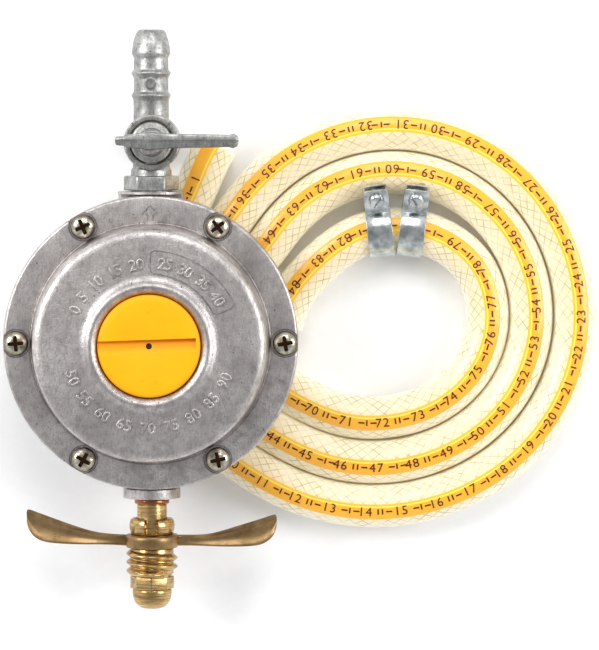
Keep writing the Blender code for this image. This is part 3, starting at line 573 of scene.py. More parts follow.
class Bench:
    """The few hand operations that every piece is modelled with, in millimetres at the piece's own origin."""

    @staticmethod
    def alone(piece: Optional[bpy.types.Object] = None) -> None:
        """Select nothing, or only this piece, and make it the active one."""
        if bpy.context.object and bpy.context.object.mode != "OBJECT":
            bpy.ops.object.mode_set(mode="OBJECT")
        bpy.ops.object.select_all(action="DESELECT")
        if piece:
            bpy.context.view_layer.objects.active = piece
            piece.select_set(True)

    @staticmethod
    def soften(points: Sequence[Sequence[float]], closed: bool = False) -> list[tuple[float, float]]:
        """Round the corners of an outline.

        Args:
            points: corners, each with two coordinates and, where it is rounded, how far back the round
                starts.
            closed: whether the last corner joins the first.

        Returns:
            The outline with each rounded corner as a short arc.
        """
        line: list[tuple[float, float]] = []
        for k, corner in enumerate(points):
            here = Vector(corner[:2])
            if len(corner) < 3 or (not closed and k in (0, len(points) - 1)):
                line.append((here.x, here.y))
                continue
            before = Vector(points[k - 1][:2]) - here
            after = Vector(points[(k + 1) % len(points)][:2]) - here
            start = here + before.normalized() * min(corner[2], 0.49 * before.length)
            end = here + after.normalized() * min(corner[2], 0.49 * after.length)
            for s in range(CORNER_STEPS + 1):
                t = s / CORNER_STEPS
                spot = start * (1 - t) ** 2 + here * 2 * t * (1 - t) + end * t ** 2
                line.append((spot.x, spot.y))
        return line

    @staticmethod
    def line(name: str, points: Sequence[Sequence[float]]) -> bpy.types.Object:
        """Draw a run of edges by extruding one point, and stay in edit mode with all of it selected.

        Args:
            name: the new piece's name.
            points: places in three dimensions.

        Returns:
            The new object.
        """
        Bench.alone()
        bpy.ops.mesh.primitive_plane_add(size=1.0, location=(0, 0, 0))
        piece = bpy.context.object
        piece.name = name
        piece.data.name = name
        bpy.ops.object.mode_set(mode="EDIT")
        bpy.ops.mesh.select_mode(type="VERT")
        bpy.ops.mesh.select_all(action="SELECT")
        bpy.ops.mesh.merge(type="CENTER")
        bpy.ops.transform.translate(value=Vector(points[0]))
        for one, two in zip(points, points[1:]):
            bpy.ops.mesh.extrude_vertices_move(TRANSFORM_OT_translate={"value": Vector(two) - Vector(one)})
        bpy.ops.mesh.select_all(action="SELECT")
        return piece

    @staticmethod
    def close() -> None:
        """Merge doubles, turn every face outwards and leave edit mode."""
        bpy.ops.mesh.select_all(action="SELECT")
        bpy.ops.mesh.remove_doubles(threshold=DOUBLE_MM)
        bpy.ops.mesh.normals_make_consistent(inside=False)
        bpy.ops.object.mode_set(mode="OBJECT")

    @staticmethod
    def turned(name: str, profile: Sequence[Sequence[float]], steps: int = 64,
               ring: bool = False) -> bpy.types.Object:
        """Spin an outline round its own +Z.

        Args:
            name: the new piece's name.
            profile: radius and height of each corner, with an optional round.
            steps: facets round the axis.
            ring: whether the outline is a closed loop that misses the axis.

        Returns:
            The turned piece.
        """
        line = Bench.soften(profile, ring)
        if ring:
            line.append(line[0])
        piece = Bench.line(name, [(r, 0, z) for r, z in line])
        bpy.ops.mesh.spin(steps=steps, angle=2 * math.pi, center=(0, 0, 0), axis=(0, 0, 1))
        Bench.close()
        return piece

    @staticmethod
    def plate(name: str, outline: Sequence[Sequence[float]], low: float, high: float) -> bpy.types.Object:
        """Extrude a closed outline upwards.

        Args:
            name: the new piece's name.
            outline: corners in the plate's plane, each with an optional round.
            low: height of its lower face.
            high: height of its upper face.

        Returns:
            The plate.
        """
        line = Bench.soften(outline, True)
        piece = Bench.line(name, [(x, y, low) for x, y in line + line[:1]])
        bpy.ops.mesh.remove_doubles(threshold=DOUBLE_MM)
        bpy.ops.mesh.select_all(action="SELECT")
        bpy.ops.mesh.edge_face_add()
        bpy.ops.mesh.extrude_region_move(TRANSFORM_OT_translate={"value": (0, 0, high - low)})
        Bench.close()
        return piece

    @staticmethod
    def block(name: str, low: Sequence[float], high: Sequence[float]) -> bpy.types.Object:
        """A box between two corners, as a start for carving."""
        outline = [(low[0], low[1]), (high[0], low[1]), (high[0], high[1]), (low[0], high[1])]
        return Bench.plate(name, outline, low[2], high[2])

    @staticmethod
    def modify(piece: bpy.types.Object, kind: str, **settings: Any) -> bpy.types.Object:
        """Put one modifier on a piece and apply it."""
        Bench.alone(piece)
        step = piece.modifiers.new(kind.lower(), kind)
        for name, value in settings.items():
            setattr(step, name, value)
        bpy.ops.object.modifier_apply(modifier=step.name)
        return piece

    @staticmethod
    def carve(piece: bpy.types.Object, tool: bpy.types.Object) -> bpy.types.Object:
        """Cut a tool's shape out of a piece, and use the tool up."""
        Bench.modify(piece, "BOOLEAN", object=tool, operation="DIFFERENCE", solver="EXACT")
        bpy.data.objects.remove(tool)
        return piece

    @staticmethod
    def bevel(piece: bpy.types.Object, width: float, segments: int = 2,
              over: float = 35.0) -> bpy.types.Object:
        """Round every edge that is sharper than an angle."""
        return Bench.modify(piece, "BEVEL", width=width, segments=segments, limit_method="ANGLE",
                            angle_limit=math.radians(over), harden_normals=False, use_clamp_overlap=True)

    @staticmethod
    def join(piece: bpy.types.Object, *others: bpy.types.Object) -> bpy.types.Object:
        """Make several closed shapes one piece."""
        Bench.alone(piece)
        for other in others:
            other.select_set(True)
        bpy.ops.object.join()
        return piece

    @staticmethod
    def copy(piece: bpy.types.Object, name: str) -> bpy.types.Object:
        """A copy with a mesh of its own."""
        made = piece.copy()
        made.data = piece.data.copy()
        made.name = name
        bpy.context.scene.collection.objects.link(made)
        return made

    @staticmethod
    def move(piece: bpy.types.Object, place: Matrix) -> bpy.types.Object:
        """Move a piece by a matrix, all in its mesh."""
        Bench.alone(piece)
        piece.matrix_world = place @ piece.matrix_world
        bpy.ops.object.transform_apply(location=True, rotation=True, scale=True)
        return piece

    @staticmethod
    def outline_of(sign: str, size: float, curve_steps: int, **shape: Any) -> bpy.types.Object:
        """Write one figure and make it a closed mesh.

        Args:
            sign: the figure.
            size: its text size.
            curve_steps: how finely its curves are drawn.
            shape: the text's other properties.

        Returns:
            The figure, active and in edit mode, with its doubles merged.
        """
        Bench.alone()
        bpy.ops.object.text_add(location=(0, 0, 0))
        words = bpy.context.object.data
        words.body = sign
        words.size = size
        words.resolution_u = curve_steps
        for name, value in shape.items():
            setattr(words, name, value)
        bpy.ops.object.convert(target="MESH")
        piece = bpy.context.object
        Bench.alone(piece)
        bpy.ops.object.mode_set(mode="EDIT")
        bpy.ops.mesh.select_all(action="SELECT")
        bpy.ops.mesh.remove_doubles(threshold=FIGURE_DOUBLE_MM)
        return piece

    @staticmethod
    def nudge(piece: bpy.types.Object, shift: Callable[[Vector], None]) -> bpy.types.Object:
        """Reshape a piece by moving each of its corners by one rule.

        Args:
            piece: the piece.
            shift: changes a corner's place.

        Returns:
            The same piece.
        """
        Bench.alone(piece)
        bpy.ops.object.mode_set(mode="EDIT")
        shape = bmesh.from_edit_mesh(piece.data)
        for corner in shape.verts:
            shift(corner.co)
        bmesh.update_edit_mesh(piece.data)
        bpy.ops.object.mode_set(mode="OBJECT")
        return piece

    @staticmethod
    def stand(axis: Axis, spot: Sequence[float]) -> Matrix:
        """Place of a piece in millimetres whose own +Z goes along an axis from a spot in metres."""
        turn = Vector((0, 0, 1)).rotation_difference(Vector(axis.value)).to_matrix().to_4x4()
        return Matrix.Translation(Vector(spot)) @ turn @ Matrix.Scale(MM, 4)


@dataclass
class Shop:
    """Hands each finished piece to the frame: its finish, its body and the solid it stands for."""

    made: list[str] = field(default_factory=list)

    def deliver(self, piece: bpy.types.Object, nodes: Sequence[str], finish: Finish,
                smooth: float = 38.0) -> bpy.types.Object:
        """Dress a piece and let it ride where its solids do.

        Args:
            piece: the finished piece, in its place.
            nodes: the solids that it stands for, the first of which names its body.
            finish: what it is made of.
            smooth: edges flatter than this many degrees are shaded smooth.

        Returns:
            The piece.
        """
        Bench.alone(piece)
        bpy.ops.object.shade_smooth_by_angle(angle=math.radians(smooth))
        piece.data.materials.clear()
        piece.data.materials.append(finish.material())
        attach(piece, body_of(frame["nodes"][nodes[0]])[0])
        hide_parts(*nodes)
        self.made.append(piece.name)
        LOG.info("%s stands for %s", piece.name, ", ".join(nodes))
        return piece

    def dress(self, node: str, finish: Finish) -> None:
        """Give a solid that stays in view its finish."""
        solid = frame["nodes"][node]
        for k in range(max(1, len(solid.material_slots))):
            if solid.material_slots:
                solid.material_slots[k].material = finish.material()
            else:
                solid.data.materials.append(finish.material())
        LOG.info("%s keeps its shape", node)

    def refine(self, node: str, name: str, finish: Finish,
               edge: float = 0.12) -> bpy.types.Object:
        """Take a solid's shape, break its edges and stand the result in for it.

        Args:
            node: the solid.
            name: the new piece's name.
            finish: what it is made of.
            edge: how far its edges are broken, in millimetres.

        Returns:
            The new piece.
        """
        piece = Bench.copy(frame["nodes"][node], name)
        for key in list(piece.keys()):
            del piece[key]
        piece.hide_render = False
        piece.hide_viewport = False
        Bench.alone(piece)
        bpy.ops.object.mode_set(mode="EDIT")
        bpy.ops.mesh.select_all(action="SELECT")
        bpy.ops.mesh.remove_doubles(threshold=DOUBLE_MM * MM)
        bpy.ops.mesh.dissolve_limited(angle_limit=math.radians(1.0))
        bpy.ops.mesh.normals_make_consistent(inside=False)
        bpy.ops.object.mode_set(mode="OBJECT")
        if edge > 0:
            Bench.bevel(piece, edge * MM, 2, 40.0)
        return self.deliver(piece, [node], finish)


@dataclass(frozen=True)
class Places:
    """Where the frame puts the main axes, in metres."""

    body_y: float
    line_z: float
    tap_x: float
    tap_y: float

    @staticmethod
    def read() -> "Places":
        """Read the axes from the solids' boxes."""
        def middle(node: str, axis: int) -> float:
            """Middle of a solid's box along one axis."""
            low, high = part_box(node)
            return (low[axis] + high[axis]) / 2

        return Places(body_y=middle("bonnet", 1), line_z=middle("inlet_stem", 2),
                      tap_x=middle("tap_nut", 0), tap_y=middle("tap_nut", 1))

    def round_body(self) -> Matrix:
        """Place of what is turned about the round body's upright axis."""
        return Bench.stand(Axis.UP, (0, self.body_y, 0))

    def gas_line(self) -> Matrix:
        """Place of what is turned about the gas line, its own +Z towards the barb."""
        return Bench.stand(Axis.LINE, (0, self.body_y, self.line_z))

    def tap(self) -> Matrix:
        """Place of what is turned about the tap's upright axis."""
        return Bench.stand(Axis.UP, (self.tap_x, self.tap_y, 0))


# ---------------------------------------------------------------- hose

@dataclass(frozen=True)
class HoseRoute:
    """Line that the hose lies on: a flat coil that shifts out by a pitch on each pass under the body.

    Its angles are degrees clockwise from +Y, and its distances millimetres from the coil's centre.
    """

    centre: tuple[float, float] = (66.7, 5.9)
    pitch: float = 12.6
    hose_r: float = 6.1
    clamp_lift: float = 1.5
    clamp_angle: float = 4.2
    clamp_reach: float = 18.0
    clamp_fall: float = 40.0
    turns: int = 3
    inner: tuple[tuple[float, float], ...] = (
        (-95, 30.5), (-85, 29.1), (-72, 27.0), (-60, 25.4), (-45, 24.4), (-30, 24.3), (0, 25.0), (30, 26.2),
        (60, 27.9), (90, 28.0), (120, 27.7), (150, 27.4), (180, 28.2))
    open_side: tuple[tuple[float, float], ...] = (
        (-45, 39.7), (-30, 40.2), (15, 41.1), (90, 40.4), (150, 39.9), (180, 41.0))
    under: tuple[tuple[float, float], ...] = (
        (210, 31.1), (225, 33.3), (240, 36.8), (255, 41.1), (270, 43.3), (285, 42.3), (300, 39.8))
    tail: tuple[float, float] = (1035, 68.9)

    def knots(self) -> list[tuple[float, float]]:
        """Angles clockwise from +Y, and distances from the coil's centre."""
        found = list(self.inner)
        for turn in range(self.turns):
            if turn > 0:
                found += [(a + 360 * turn, r + self.pitch * (turn - 1)) for a, r in self.open_side]
            found += [(a + 360 * turn, r + self.pitch * turn) for a, r in self.under]
        return found + [self.tail]

    def radius(self, angle: float) -> float:
        """Distance from the coil's centre at an angle, smooth through the knots.

        Args:
            angle: degrees clockwise from +Y.

        Returns:
            Millimetres.
        """
        knots = self.knots()
        k = 0
        while k < len(knots) - 2 and angle > knots[k + 1][0]:
            k += 1
        (a0, r0), (a1, r1) = knots[k], knots[k + 1]
        before = knots[k - 1] if k > 0 else (2 * a0 - a1, 2 * r0 - r1)
        after = knots[k + 2] if k + 2 < len(knots) else (2 * a1 - a0, 2 * r1 - r0)
        slope0 = (r1 - before[1]) / (a1 - before[0])
        slope1 = (after[1] - r0) / (after[0] - a0)
        span = a1 - a0
        t = (angle - a0) / span
        return ((2 * t**3 - 3 * t**2 + 1) * r0 + (t**3 - 2 * t**2 + t) * span * slope0
                + (3 * t**2 - 2 * t**3) * r1 + (t**3 - t**2) * span * slope1)

    def height(self, angle: float) -> float:
        """Height of the line: on the surface, and a little higher where the clamps are on."""
        away = (abs(angle - self.clamp_angle) - self.clamp_reach) / self.clamp_fall
        away = min(1.0, max(0.0, away))
        return self.hose_r + self.clamp_lift * (1 - away * away * (3 - 2 * away))

    def point(self, angle: float, body_y: float) -> Vector:
        """Point of the line at an angle, in millimetres of the frame."""
        turn = math.radians(angle)
        reach = self.radius(angle)
        return Vector((self.centre[0] + reach * math.sin(turn),
                       self.centre[1] + body_y + reach * math.cos(turn), self.height(angle)))

    def points(self, step: float, body_y: float) -> list[Vector]:
        """Points all along the line, a few degrees apart."""
        first, last = self.inner[0][0], self.tail[0]
        count = int(round((last - first) / step))
        return [self.point(first + (last - first) * k / count, body_y) for k in range(count + 1)]


@dataclass
class Hose:
    """Braided tube on its route, with its cut ends and the plain length scale printed on its stripe."""

    places: Places
    route: HoseRoute = field(default_factory=HoseRoute)
    bore_r: float = 4.4
    rim: float = 0.25
    facets: int = 40
    station_step: float = 2.4
    bore_depth: float = 14.0
    print_height: float = 2.6
    print_thick: float = 0.1
    print_lift: float = 0.03
    print_pitch: float = 10.0
    print_side: float = 0.9
    dash_long: float = 1.7
    dash_tall: float = 1.6
    dash_thick: float = 0.42
    wide_step: float = 2.1
    narrow_step: float = 1.2
    line: list[Vector] = field(default_factory=list)

    def frames(self) -> list[tuple[Vector, Vector, Vector, float]]:
        """Point, outward side, upper side and distance along, at each station of the route."""
        self.line = self.route.points(self.station_step, self.places.body_y / MM)
        found = []
        run = 0.0
        for k, spot in enumerate(self.line):
            ahead = self.line[min(k + 1, len(self.line) - 1)]
            behind = self.line[max(k - 1, 0)]
            way = (ahead - behind).normalized()
            out = Vector((0, 0, 1)).cross(way).normalized()
            if k > 0:
                run += (spot - self.line[k - 1]).length
            found.append((spot, out, way.cross(out), run))
        return found

    def build(self, shop: Shop) -> bpy.types.Object:
        """Make the tube and its map of millimetres along and round it.

        Args:
            shop: takes the finished piece.

        Returns:
            The hose.
        """
        stations = self.frames()
        big = self.route.hose_r
        last = len(stations) - 1
        first_bore = [k for k, s in enumerate(stations) if s[3] < self.bore_depth]
        last_bore = [k for k, s in enumerate(stations) if s[3] > stations[-1][3] - self.bore_depth]
        rings = [(k, self.bore_r) for k in reversed(first_bore)] + [(0, big - self.rim)]
        rings += [(k, big) for k in range(len(stations))]
        rings += [(last, big - self.rim)] + [(k, self.bore_r) for k in reversed(last_bore)]
        mesh = bpy.data.meshes.new("braided_hose")
        shape = bmesh.new()
        lay = shape.loops.layers.uv.new("lay")
        loops = []
        for k, radius in rings:
            spot, out, up, _ = stations[k]
            loops.append([])
            for j in range(self.facets):
                a = 2 * math.pi * j / self.facets
                corner = spot + up * radius * math.cos(a) + out * radius * math.sin(a)
                loops[-1].append(shape.verts.new(corner * MM))
        for (one, two), ((k1, _), (k2, _)) in zip(zip(loops, loops[1:]), zip(rings, rings[1:])):
            for j in range(self.facets):
                n = (j + 1) % self.facets
                face = shape.faces.new((one[j], one[n], two[n], two[j]))
                face.smooth = True
                arcs = [j, j + 1, j + 1, j]
                for corner, arc, k in zip(face.loops, arcs, (k1, k1, k2, k2)):
                    turn = arc / self.facets if j < self.facets // 2 else arc / self.facets - 1.0
                    corner[lay].uv = (stations[k][3], turn * 2 * math.pi * big)
        for ring in (loops[0], loops[-1]):
            shape.faces.new(ring)
        bmesh.ops.recalc_face_normals(shape, faces=shape.faces)
        shape.to_mesh(mesh)
        shape.free()
        hose = bpy.data.objects.new("braided_hose", mesh)
        bpy.context.scene.collection.objects.link(hose)
        return shop.deliver(hose, ["gas_hose"], HOSE_WALL)

    def glyph(self, sign: str) -> tuple[list[Vector], list[list[int]]]:
        """One figure or dash, as a thin solid.

        Args:
            sign: the figure.

        Returns:
            Its corners, in millimetres from its left foot, and its faces.
        """
        if sign in "-|":
            wide, tall = self.dash_thick, self.dash_tall
            if sign == "-":
                wide, tall = self.dash_long, self.dash_thick
            middle, half = self.print_height / 2, self.print_thick / 2
            piece = Bench.block("bar", (0, middle - tall / 2, -half), (wide, middle + tall / 2, half))
        else:
            piece = Bench.outline_of(sign, self.print_height / CAPITAL, 3, extrude=self.print_thick / 2)
            # cut across, so that a long stroke bends with the round hose
            for share in (0.2, 0.4, 0.6, 0.8):
                bpy.ops.mesh.select_all(action="SELECT")
                bpy.ops.mesh.bisect(plane_co=(0, share * self.print_height, 0), plane_no=(0, 1, 0))
            bpy.ops.object.mode_set(mode="OBJECT")
        corners = [v.co.copy() for v in piece.data.vertices]
        faces = [list(p.vertices) for p in piece.data.polygons]
        bpy.data.objects.remove(piece)
        return corners, faces

    def scale_print(self, shop: Shop) -> bpy.types.Object:
        """Lay a plain centimetre scale along the stripe: figures with dashes between them.

        Args:
            shop: takes the finished piece.

        Returns:
            The print.
        """
        stations = self.frames()
        total = stations[-1][3]
        known = {sign: self.glyph(sign) for sign in "0123456789-|"}
        mesh = bpy.data.meshes.new("hose_scale_print")
        corners: list[Vector] = []
        faces: list[list[int]] = []
        for mark in range(1, int(total / self.print_pitch)):
            words = str(mark) + (" -|-" if mark % 2 else " ||-")
            reach = total - mark * self.print_pitch
            pen = 0.0
            for sign in words:
                if sign != " ":
                    points, sides = known[sign]
                    start = len(corners)
                    corners += [self.wrap(stations, reach - pen - p.x, p.y, p.z) for p in points]
                    faces += [[start + i for i in side] for side in sides]
                pen += self.narrow_step if sign in "| " else self.wide_step
        mesh.from_pydata([tuple(c) for c in corners], [], faces)
        mesh.update()
        piece = bpy.data.objects.new("hose_scale_print", mesh)
        bpy.context.scene.collection.objects.link(piece)
        return shop.deliver(piece, ["gas_hose"], INK, 20.0)

    def wrap(self, stations: Sequence[tuple[Vector, Vector, Vector, float]], reach: float, across: float,
             lift: float) -> Vector:
        """Put a point of the print on the hose's skin.

        Args:
            stations: the route's frames.
            reach: distance along the hose.
            across: height on the letter, towards the coil's centre.
            lift: height over the skin.

        Returns:
            The point, in metres of the frame.
        """
        low, high = 0, len(stations) - 1
        while high - low > 1:
            middle = (low + high) // 2
            if stations[middle][3] > reach:
                high = middle
            else:
                low = middle
        one, two = stations[low], stations[high]
        t = (reach - one[3]) / (two[3] - one[3])
        spot, out, up = (one[k].lerp(two[k], t) for k in range(3))
        foot = HOSE_WALL.stripe_at + self.print_side + self.print_height * 0.1
        angle = (foot - across) / self.route.hose_r
        radius = self.route.hose_r + self.print_lift + lift
        return (spot + (up * math.cos(angle) + out * math.sin(angle)) * radius) * MM

    def declare(self) -> None:
        """Add up the hose's length along its line; the frame is told nothing of it."""
        length = sum((b - a).length for a, b in zip(self.line, self.line[1:])) * MM


@dataclass
class Clamp:
    """Hose clamp: a bent steel band with two flat ears, a slotted screw and a square nut."""

    number: int
    angle: float
    turn: float
    slot_turn: float
    places: Places
    route: HoseRoute = field(default_factory=HoseRoute)
    inner_r: float = 6.9
    thick: float = 0.7
    width: float = 7.1
    lean: float = 36.0
    ear_end: float = 15.2
    ear_screw: float = 12.2
    ear_gap: float = 1.7
    ear_round: float = 1.1
    head_r: float = 2.2
    bend_steps: int = 64

    def place(self) -> Matrix:
        """Own +Z along the hose and own +X out through the ears, which lean up from the surface."""
        spot = self.route.point(self.angle, self.places.body_y / MM) * MM
        around = math.radians(self.angle + self.turn)
        run = Vector((math.cos(around), -math.sin(around), 0))
        out = Vector((math.sin(around), math.cos(around), 0))
        lean = math.radians(self.lean)
        ear = out * math.cos(lean) + Vector((0, 0, 1)) * math.sin(lean)
        side = run.cross(ear)
        turn = Matrix((ear, side, run)).transposed().to_4x4()
        return Matrix.Translation(spot) @ turn @ Matrix.Scale(MM, 4)

    def band(self) -> bpy.types.Object:
        """Bend the strip round the hose, round off its ears and break its edges."""
        outer_r = self.inner_r + self.thick
        gap = self.ear_gap / 2
        steps = self.bend_steps
        opening = math.asin((gap + self.thick) / outer_r)
        inner_open = math.asin(gap / self.inner_r)
        wrap = [opening + (2 * math.pi - 2 * opening) * k / steps for k in range(steps + 1)]
        back = [inner_open + (2 * math.pi - 2 * inner_open) * k / steps for k in range(steps + 1)]
        outline = [(self.ear_end, gap), (self.ear_end, gap + self.thick)]
        outline += [(outer_r * math.cos(a), outer_r * math.sin(a)) for a in wrap]
        outline += [(self.ear_end, -gap - self.thick), (self.ear_end, -gap)]
        outline += [(self.inner_r * math.cos(a), self.inner_r * math.sin(a)) for a in reversed(back)]
        strip = Bench.plate(f"clamp_{self.number}_strip", outline, -self.width / 2, self.width / 2)
        Bench.alone(strip)
        bpy.ops.object.mode_set(mode="EDIT")
        bpy.ops.mesh.select_mode(type="EDGE")
        bpy.ops.mesh.select_all(action="DESELECT")
        shape = bmesh.from_edit_mesh(strip.data)
        for edge in shape.edges:
            one, two = edge.verts
            end = min(one.co.x, two.co.x) > self.ear_end - 0.05
            side = abs(one.co.z - two.co.z) < 0.01
            edge.select = end and side and abs(one.co.y - two.co.y) > 0.3 * self.thick
        bmesh.update_edit_mesh(strip.data)
        bpy.ops.mesh.bevel(offset=self.ear_round, segments=4)
        bpy.ops.object.mode_set(mode="OBJECT")
        return Bench.bevel(strip, 0.12, 2, 30.0)

    def build(self, shop: Shop) -> list[bpy.types.Object]:
        """Make the band, the screw and the nut.

        Args:
            shop: takes the finished pieces.

        Returns:
            The pieces.
        """
        name = f"clamp_{self.number}"
        place = self.place()
        through = Matrix.Rotation(-math.pi / 2, 4, "X")
        screw_axis = place @ Matrix.Translation((self.ear_screw, 0, 0)) @ through
        strip = Bench.move(self.band(), place)
        seat = self.ear_gap / 2 + self.thick + 0.3
        head = Bench.turned(name + "_bolt", [
            (0, -seat - 2.2), (1.3, -seat - 2.2, 0.2), (1.3, seat - 0.25, 0.1),
            (self.head_r, seat - 0.25, 0.15), (self.head_r, seat + 1.0, 0.5),
            (self.head_r - 0.5, seat + 1.42, 0.6), (0, seat + 1.5)], 40)
        slot = Bench.block("slot", (-3, -0.34, seat + 0.75), (3, 0.34, seat + 3))
        Bench.move(slot, Matrix.Rotation(math.radians(self.slot_turn), 4, "Z"))
        Bench.carve(head, slot)
        Bench.bevel(head, 0.07, 2, 50.0)
        Bench.move(head, screw_axis)
        nut = Bench.block(name + "_square_nut", (-2.2, -2.2, -seat - 1.8), (2.2, 2.2, -seat + 0.2))
        Bench.carve(nut, Bench.turned("bore", [(0, -9), (1.45, -9), (1.45, 0), (0, 0)], 24))
        Bench.bevel(nut, 0.18, 2, 50.0)
        Bench.move(nut, screw_axis)
        return [shop.deliver(piece, [name + part], CLAMP_PLATE)
                for piece, part in ((strip, "_band"), (head, "_screw"), (nut, "_nut"))]


# ---------------------------------------------------------------- round body

@dataclass
class RoundBody:
    """The two castings, the diaphragm's rim between them, the cover's screws and the setting cap."""

    places: Places
    flange_r: float = 41.0
    cover_z: float = 27.6
    cover_top: float = 30.6
    crown_z: float = 43.0
    cap_r: float = 14.2
    cap_top: float = 45.4
    screw_circle: float = 37.4
    head_r: float = 3.45
    seat_z: float = 30.9
    slot_turn: float = 2.6
    crown_r: float = 30.9
    crown_in_r: float = 20.6
    crown_rise: float = 0.6
    frame_low_r: float = 19.6
    frame_high_r: float = 26.4
    frame_from: float = 0.5
    frame_to: float = 66.0
    frame_line: float = 0.45
    frame_deep: float = 0.45
    frame_corner: float = 1.7
    figure_high: float = 3.1
    figure_edge: float = 0.28
    screw_turns: tuple[float, ...] = (10.0, 38.0, 24.0, 5.0, 60.0, 12.0)

    def cover(self, shop: Shop) -> None:
        """Turn the cover, cut its screw seats, label frame and flow arrow into it, and raise its dial."""
        top, crown = self.cover_top, self.crown_z
        well = self.cap_r + 0.12
        piece = Bench.turned("cover_casting", [
            (29.5, self.cover_z), (self.flange_r, self.cover_z, 0.3), (self.flange_r, top, 0.8),
            (33.9, top, 0.2), (33.45, top - 0.35, 0.2), (33.05, top + 0.2, 0.3), (32.25, crown - 1.1, 0.8),
            (self.crown_r, crown, 1.3), (self.crown_in_r, crown + self.crown_rise, 1.6),
            (18.3, crown + 0.8, 1.2), (17.0, crown + 1.95, 0.9), (15.9, crown + 1.95, 0.5),
            (well, crown + 0.9, 0.5), (well, 35.0), (17.3, 35.0), (17.3, crown - 1.8),
            (26.8, crown - 2.2), (28.6, crown - 4.0)], 144, True)
        for angle in self.angles():
            hole = Bench.turned("hole", [
                (0, 26), (1.95, 26), (1.95, 30.15), (3.85, 30.15), (4.0, 30.3), (4.0, 32), (0, 32)], 48)
            Bench.carve(piece, Bench.move(hole, self.screw_at(angle)))
        Bench.carve(piece, self.label_frame())
        Bench.carve(piece, self.arrow())
        Bench.join(piece, *self.dial())
        Bench.move(piece, self.places.round_body())
        shop.deliver(piece, ["bonnet"], ZINC)

    def angles(self) -> list[float]:
        """Angles of the cover's screws, anticlockwise from +X, in radians."""
        return [math.pi * k / 3 for k in range(6)]

    def screw_at(self, angle: float) -> Matrix:
        """Place of a screw on its circle."""
        reach = self.screw_circle
        return Matrix.Translation((reach * math.cos(angle), reach * math.sin(angle), 0))

    def label_frame(self) -> bpy.types.Object:
        """A thin curved frame with round corners, to engrave the crown with."""
        crown = self.crown_z
        deep = Bench.plate("label_frame", self.skip_near(self.sector(0.0)), crown - 1.5, crown + 3)
        inner = self.skip_near(self.sector(self.frame_line))
        core = Bench.plate("label_core", inner, crown - 2.0, crown + 4)
        Bench.carve(deep, core)

        def follow(spot: Vector) -> None:
            """Let the tool's foot run along under the crown's slope."""
            if spot.z < crown:
                out = (self.crown_r - math.hypot(spot.x, spot.y)) / (self.crown_r - self.crown_in_r)
                spot.z = crown + self.crown_rise * out - self.frame_deep

        return Bench.nudge(deep, follow)

    def sector(self, inset: float) -> list[tuple[float, ...]]:
        """Outline of the label frame, each end of both its arcs rounded off.

        Args:
            inset: how far the outline is moved in, in millimetres.

        Returns:
            Its corners.
        """
        def arc(radius: float, start: float, end: float, count: int) -> list[tuple[float, ...]]:
            """Points on an arc, at angles clockwise from +Y, with a round at both ends."""
            spread = [math.radians(start + (end - start) * k / count) for k in range(count + 1)]
            line: list[tuple[float, ...]] = [(radius * math.sin(a), radius * math.cos(a)) for a in spread]
            line[0] += (self.frame_corner - inset,)
            line[-1] += (self.frame_corner - inset,)
            return line

        outer, inner = self.frame_high_r - inset, self.frame_low_r + inset
        add_o, add_i = math.degrees(inset / outer), math.degrees(inset / inner)
        return (arc(outer, self.frame_from + add_o, self.frame_to - add_o, 24)
                + arc(inner, self.frame_to - add_i, self.frame_from + add_i, 20))

    @staticmethod
    def skip_near(outline: list[tuple[float, ...]]) -> list[tuple[float, ...]]:
        """Drop points so close to a rounded corner that they would fold its arc."""
        corners = [p for p in outline if len(p) > 2]
        return [p for p in outline
                if len(p) > 2 or all(math.dist(p[:2], c[:2]) > c[2] * 1.05 for c in corners)]

    def arrow(self) -> bpy.types.Object:
        """Outline of a flow arrow that points to the outlet, to engrave the flange with."""
        outer = [(-2.7, -1.2), (0, 1.6), (2.7, -1.2), (1.0, -1.2), (1.0, -2.9), (-1.0, -2.9), (-1.0, -1.2)]
        inner = [(-1.6, -0.8), (0, 0.95), (1.6, -0.8), (0.6, -0.8), (0.6, -3.4), (-0.6, -3.4), (-0.6, -0.8)]
        arrow = Bench.plate("arrow", outer, self.cover_top - 0.6, self.cover_top + 1)
        core = Bench.plate("arrow_core", inner, self.cover_top - 1, self.cover_top + 2)
        Bench.carve(arrow, core)
        return Bench.move(arrow, Matrix.Translation((0, 36.8, 0)))

    def dial(self) -> list[bpy.types.Object]:
        """Raised plain dial figures in three arcs round the cap.

        Returns:
            The figures, each in its place on the crown.
        """
        found = []
        for start, end, reach, flip, signs in (
                (-64.0, -6.0, 21.1, 0.0, "0 5 10 15 20"), (9.0, 58.0, 21.4, 0.0, "25 30 35 40"),
                (250.0, 112.0, 24.3, math.pi, "50 55 60 65 70 75 80 85 90")):
            for k, sign in enumerate(signs):
                if sign == " ":
                    continue
                angle = math.radians(start + (end - start) * k / (len(signs) - 1))
                around = Matrix.Rotation(-angle, 4, "Z") @ Matrix.Translation((0, reach, 0))
                spot = Matrix.Translation(around.to_translation())
                turn = Matrix.Rotation(flip - angle, 4, "Z")
                found.append(Bench.move(self.figure(sign), spot @ turn))
        return found

    def figure(self, sign: str) -> bpy.types.Object:
        """One raised figure with sloping walls, on the crown, its foot's middle at the origin."""
        piece = Bench.outline_of(sign, self.figure_high / CAPITAL, 2, align_x="CENTER", extrude=0.4,
                                 offset=-0.1, bevel_depth=self.figure_edge, bevel_resolution=1)
        return Bench.move(piece, Matrix.Translation((0, 0, self.crown_z + self.figure_edge)))

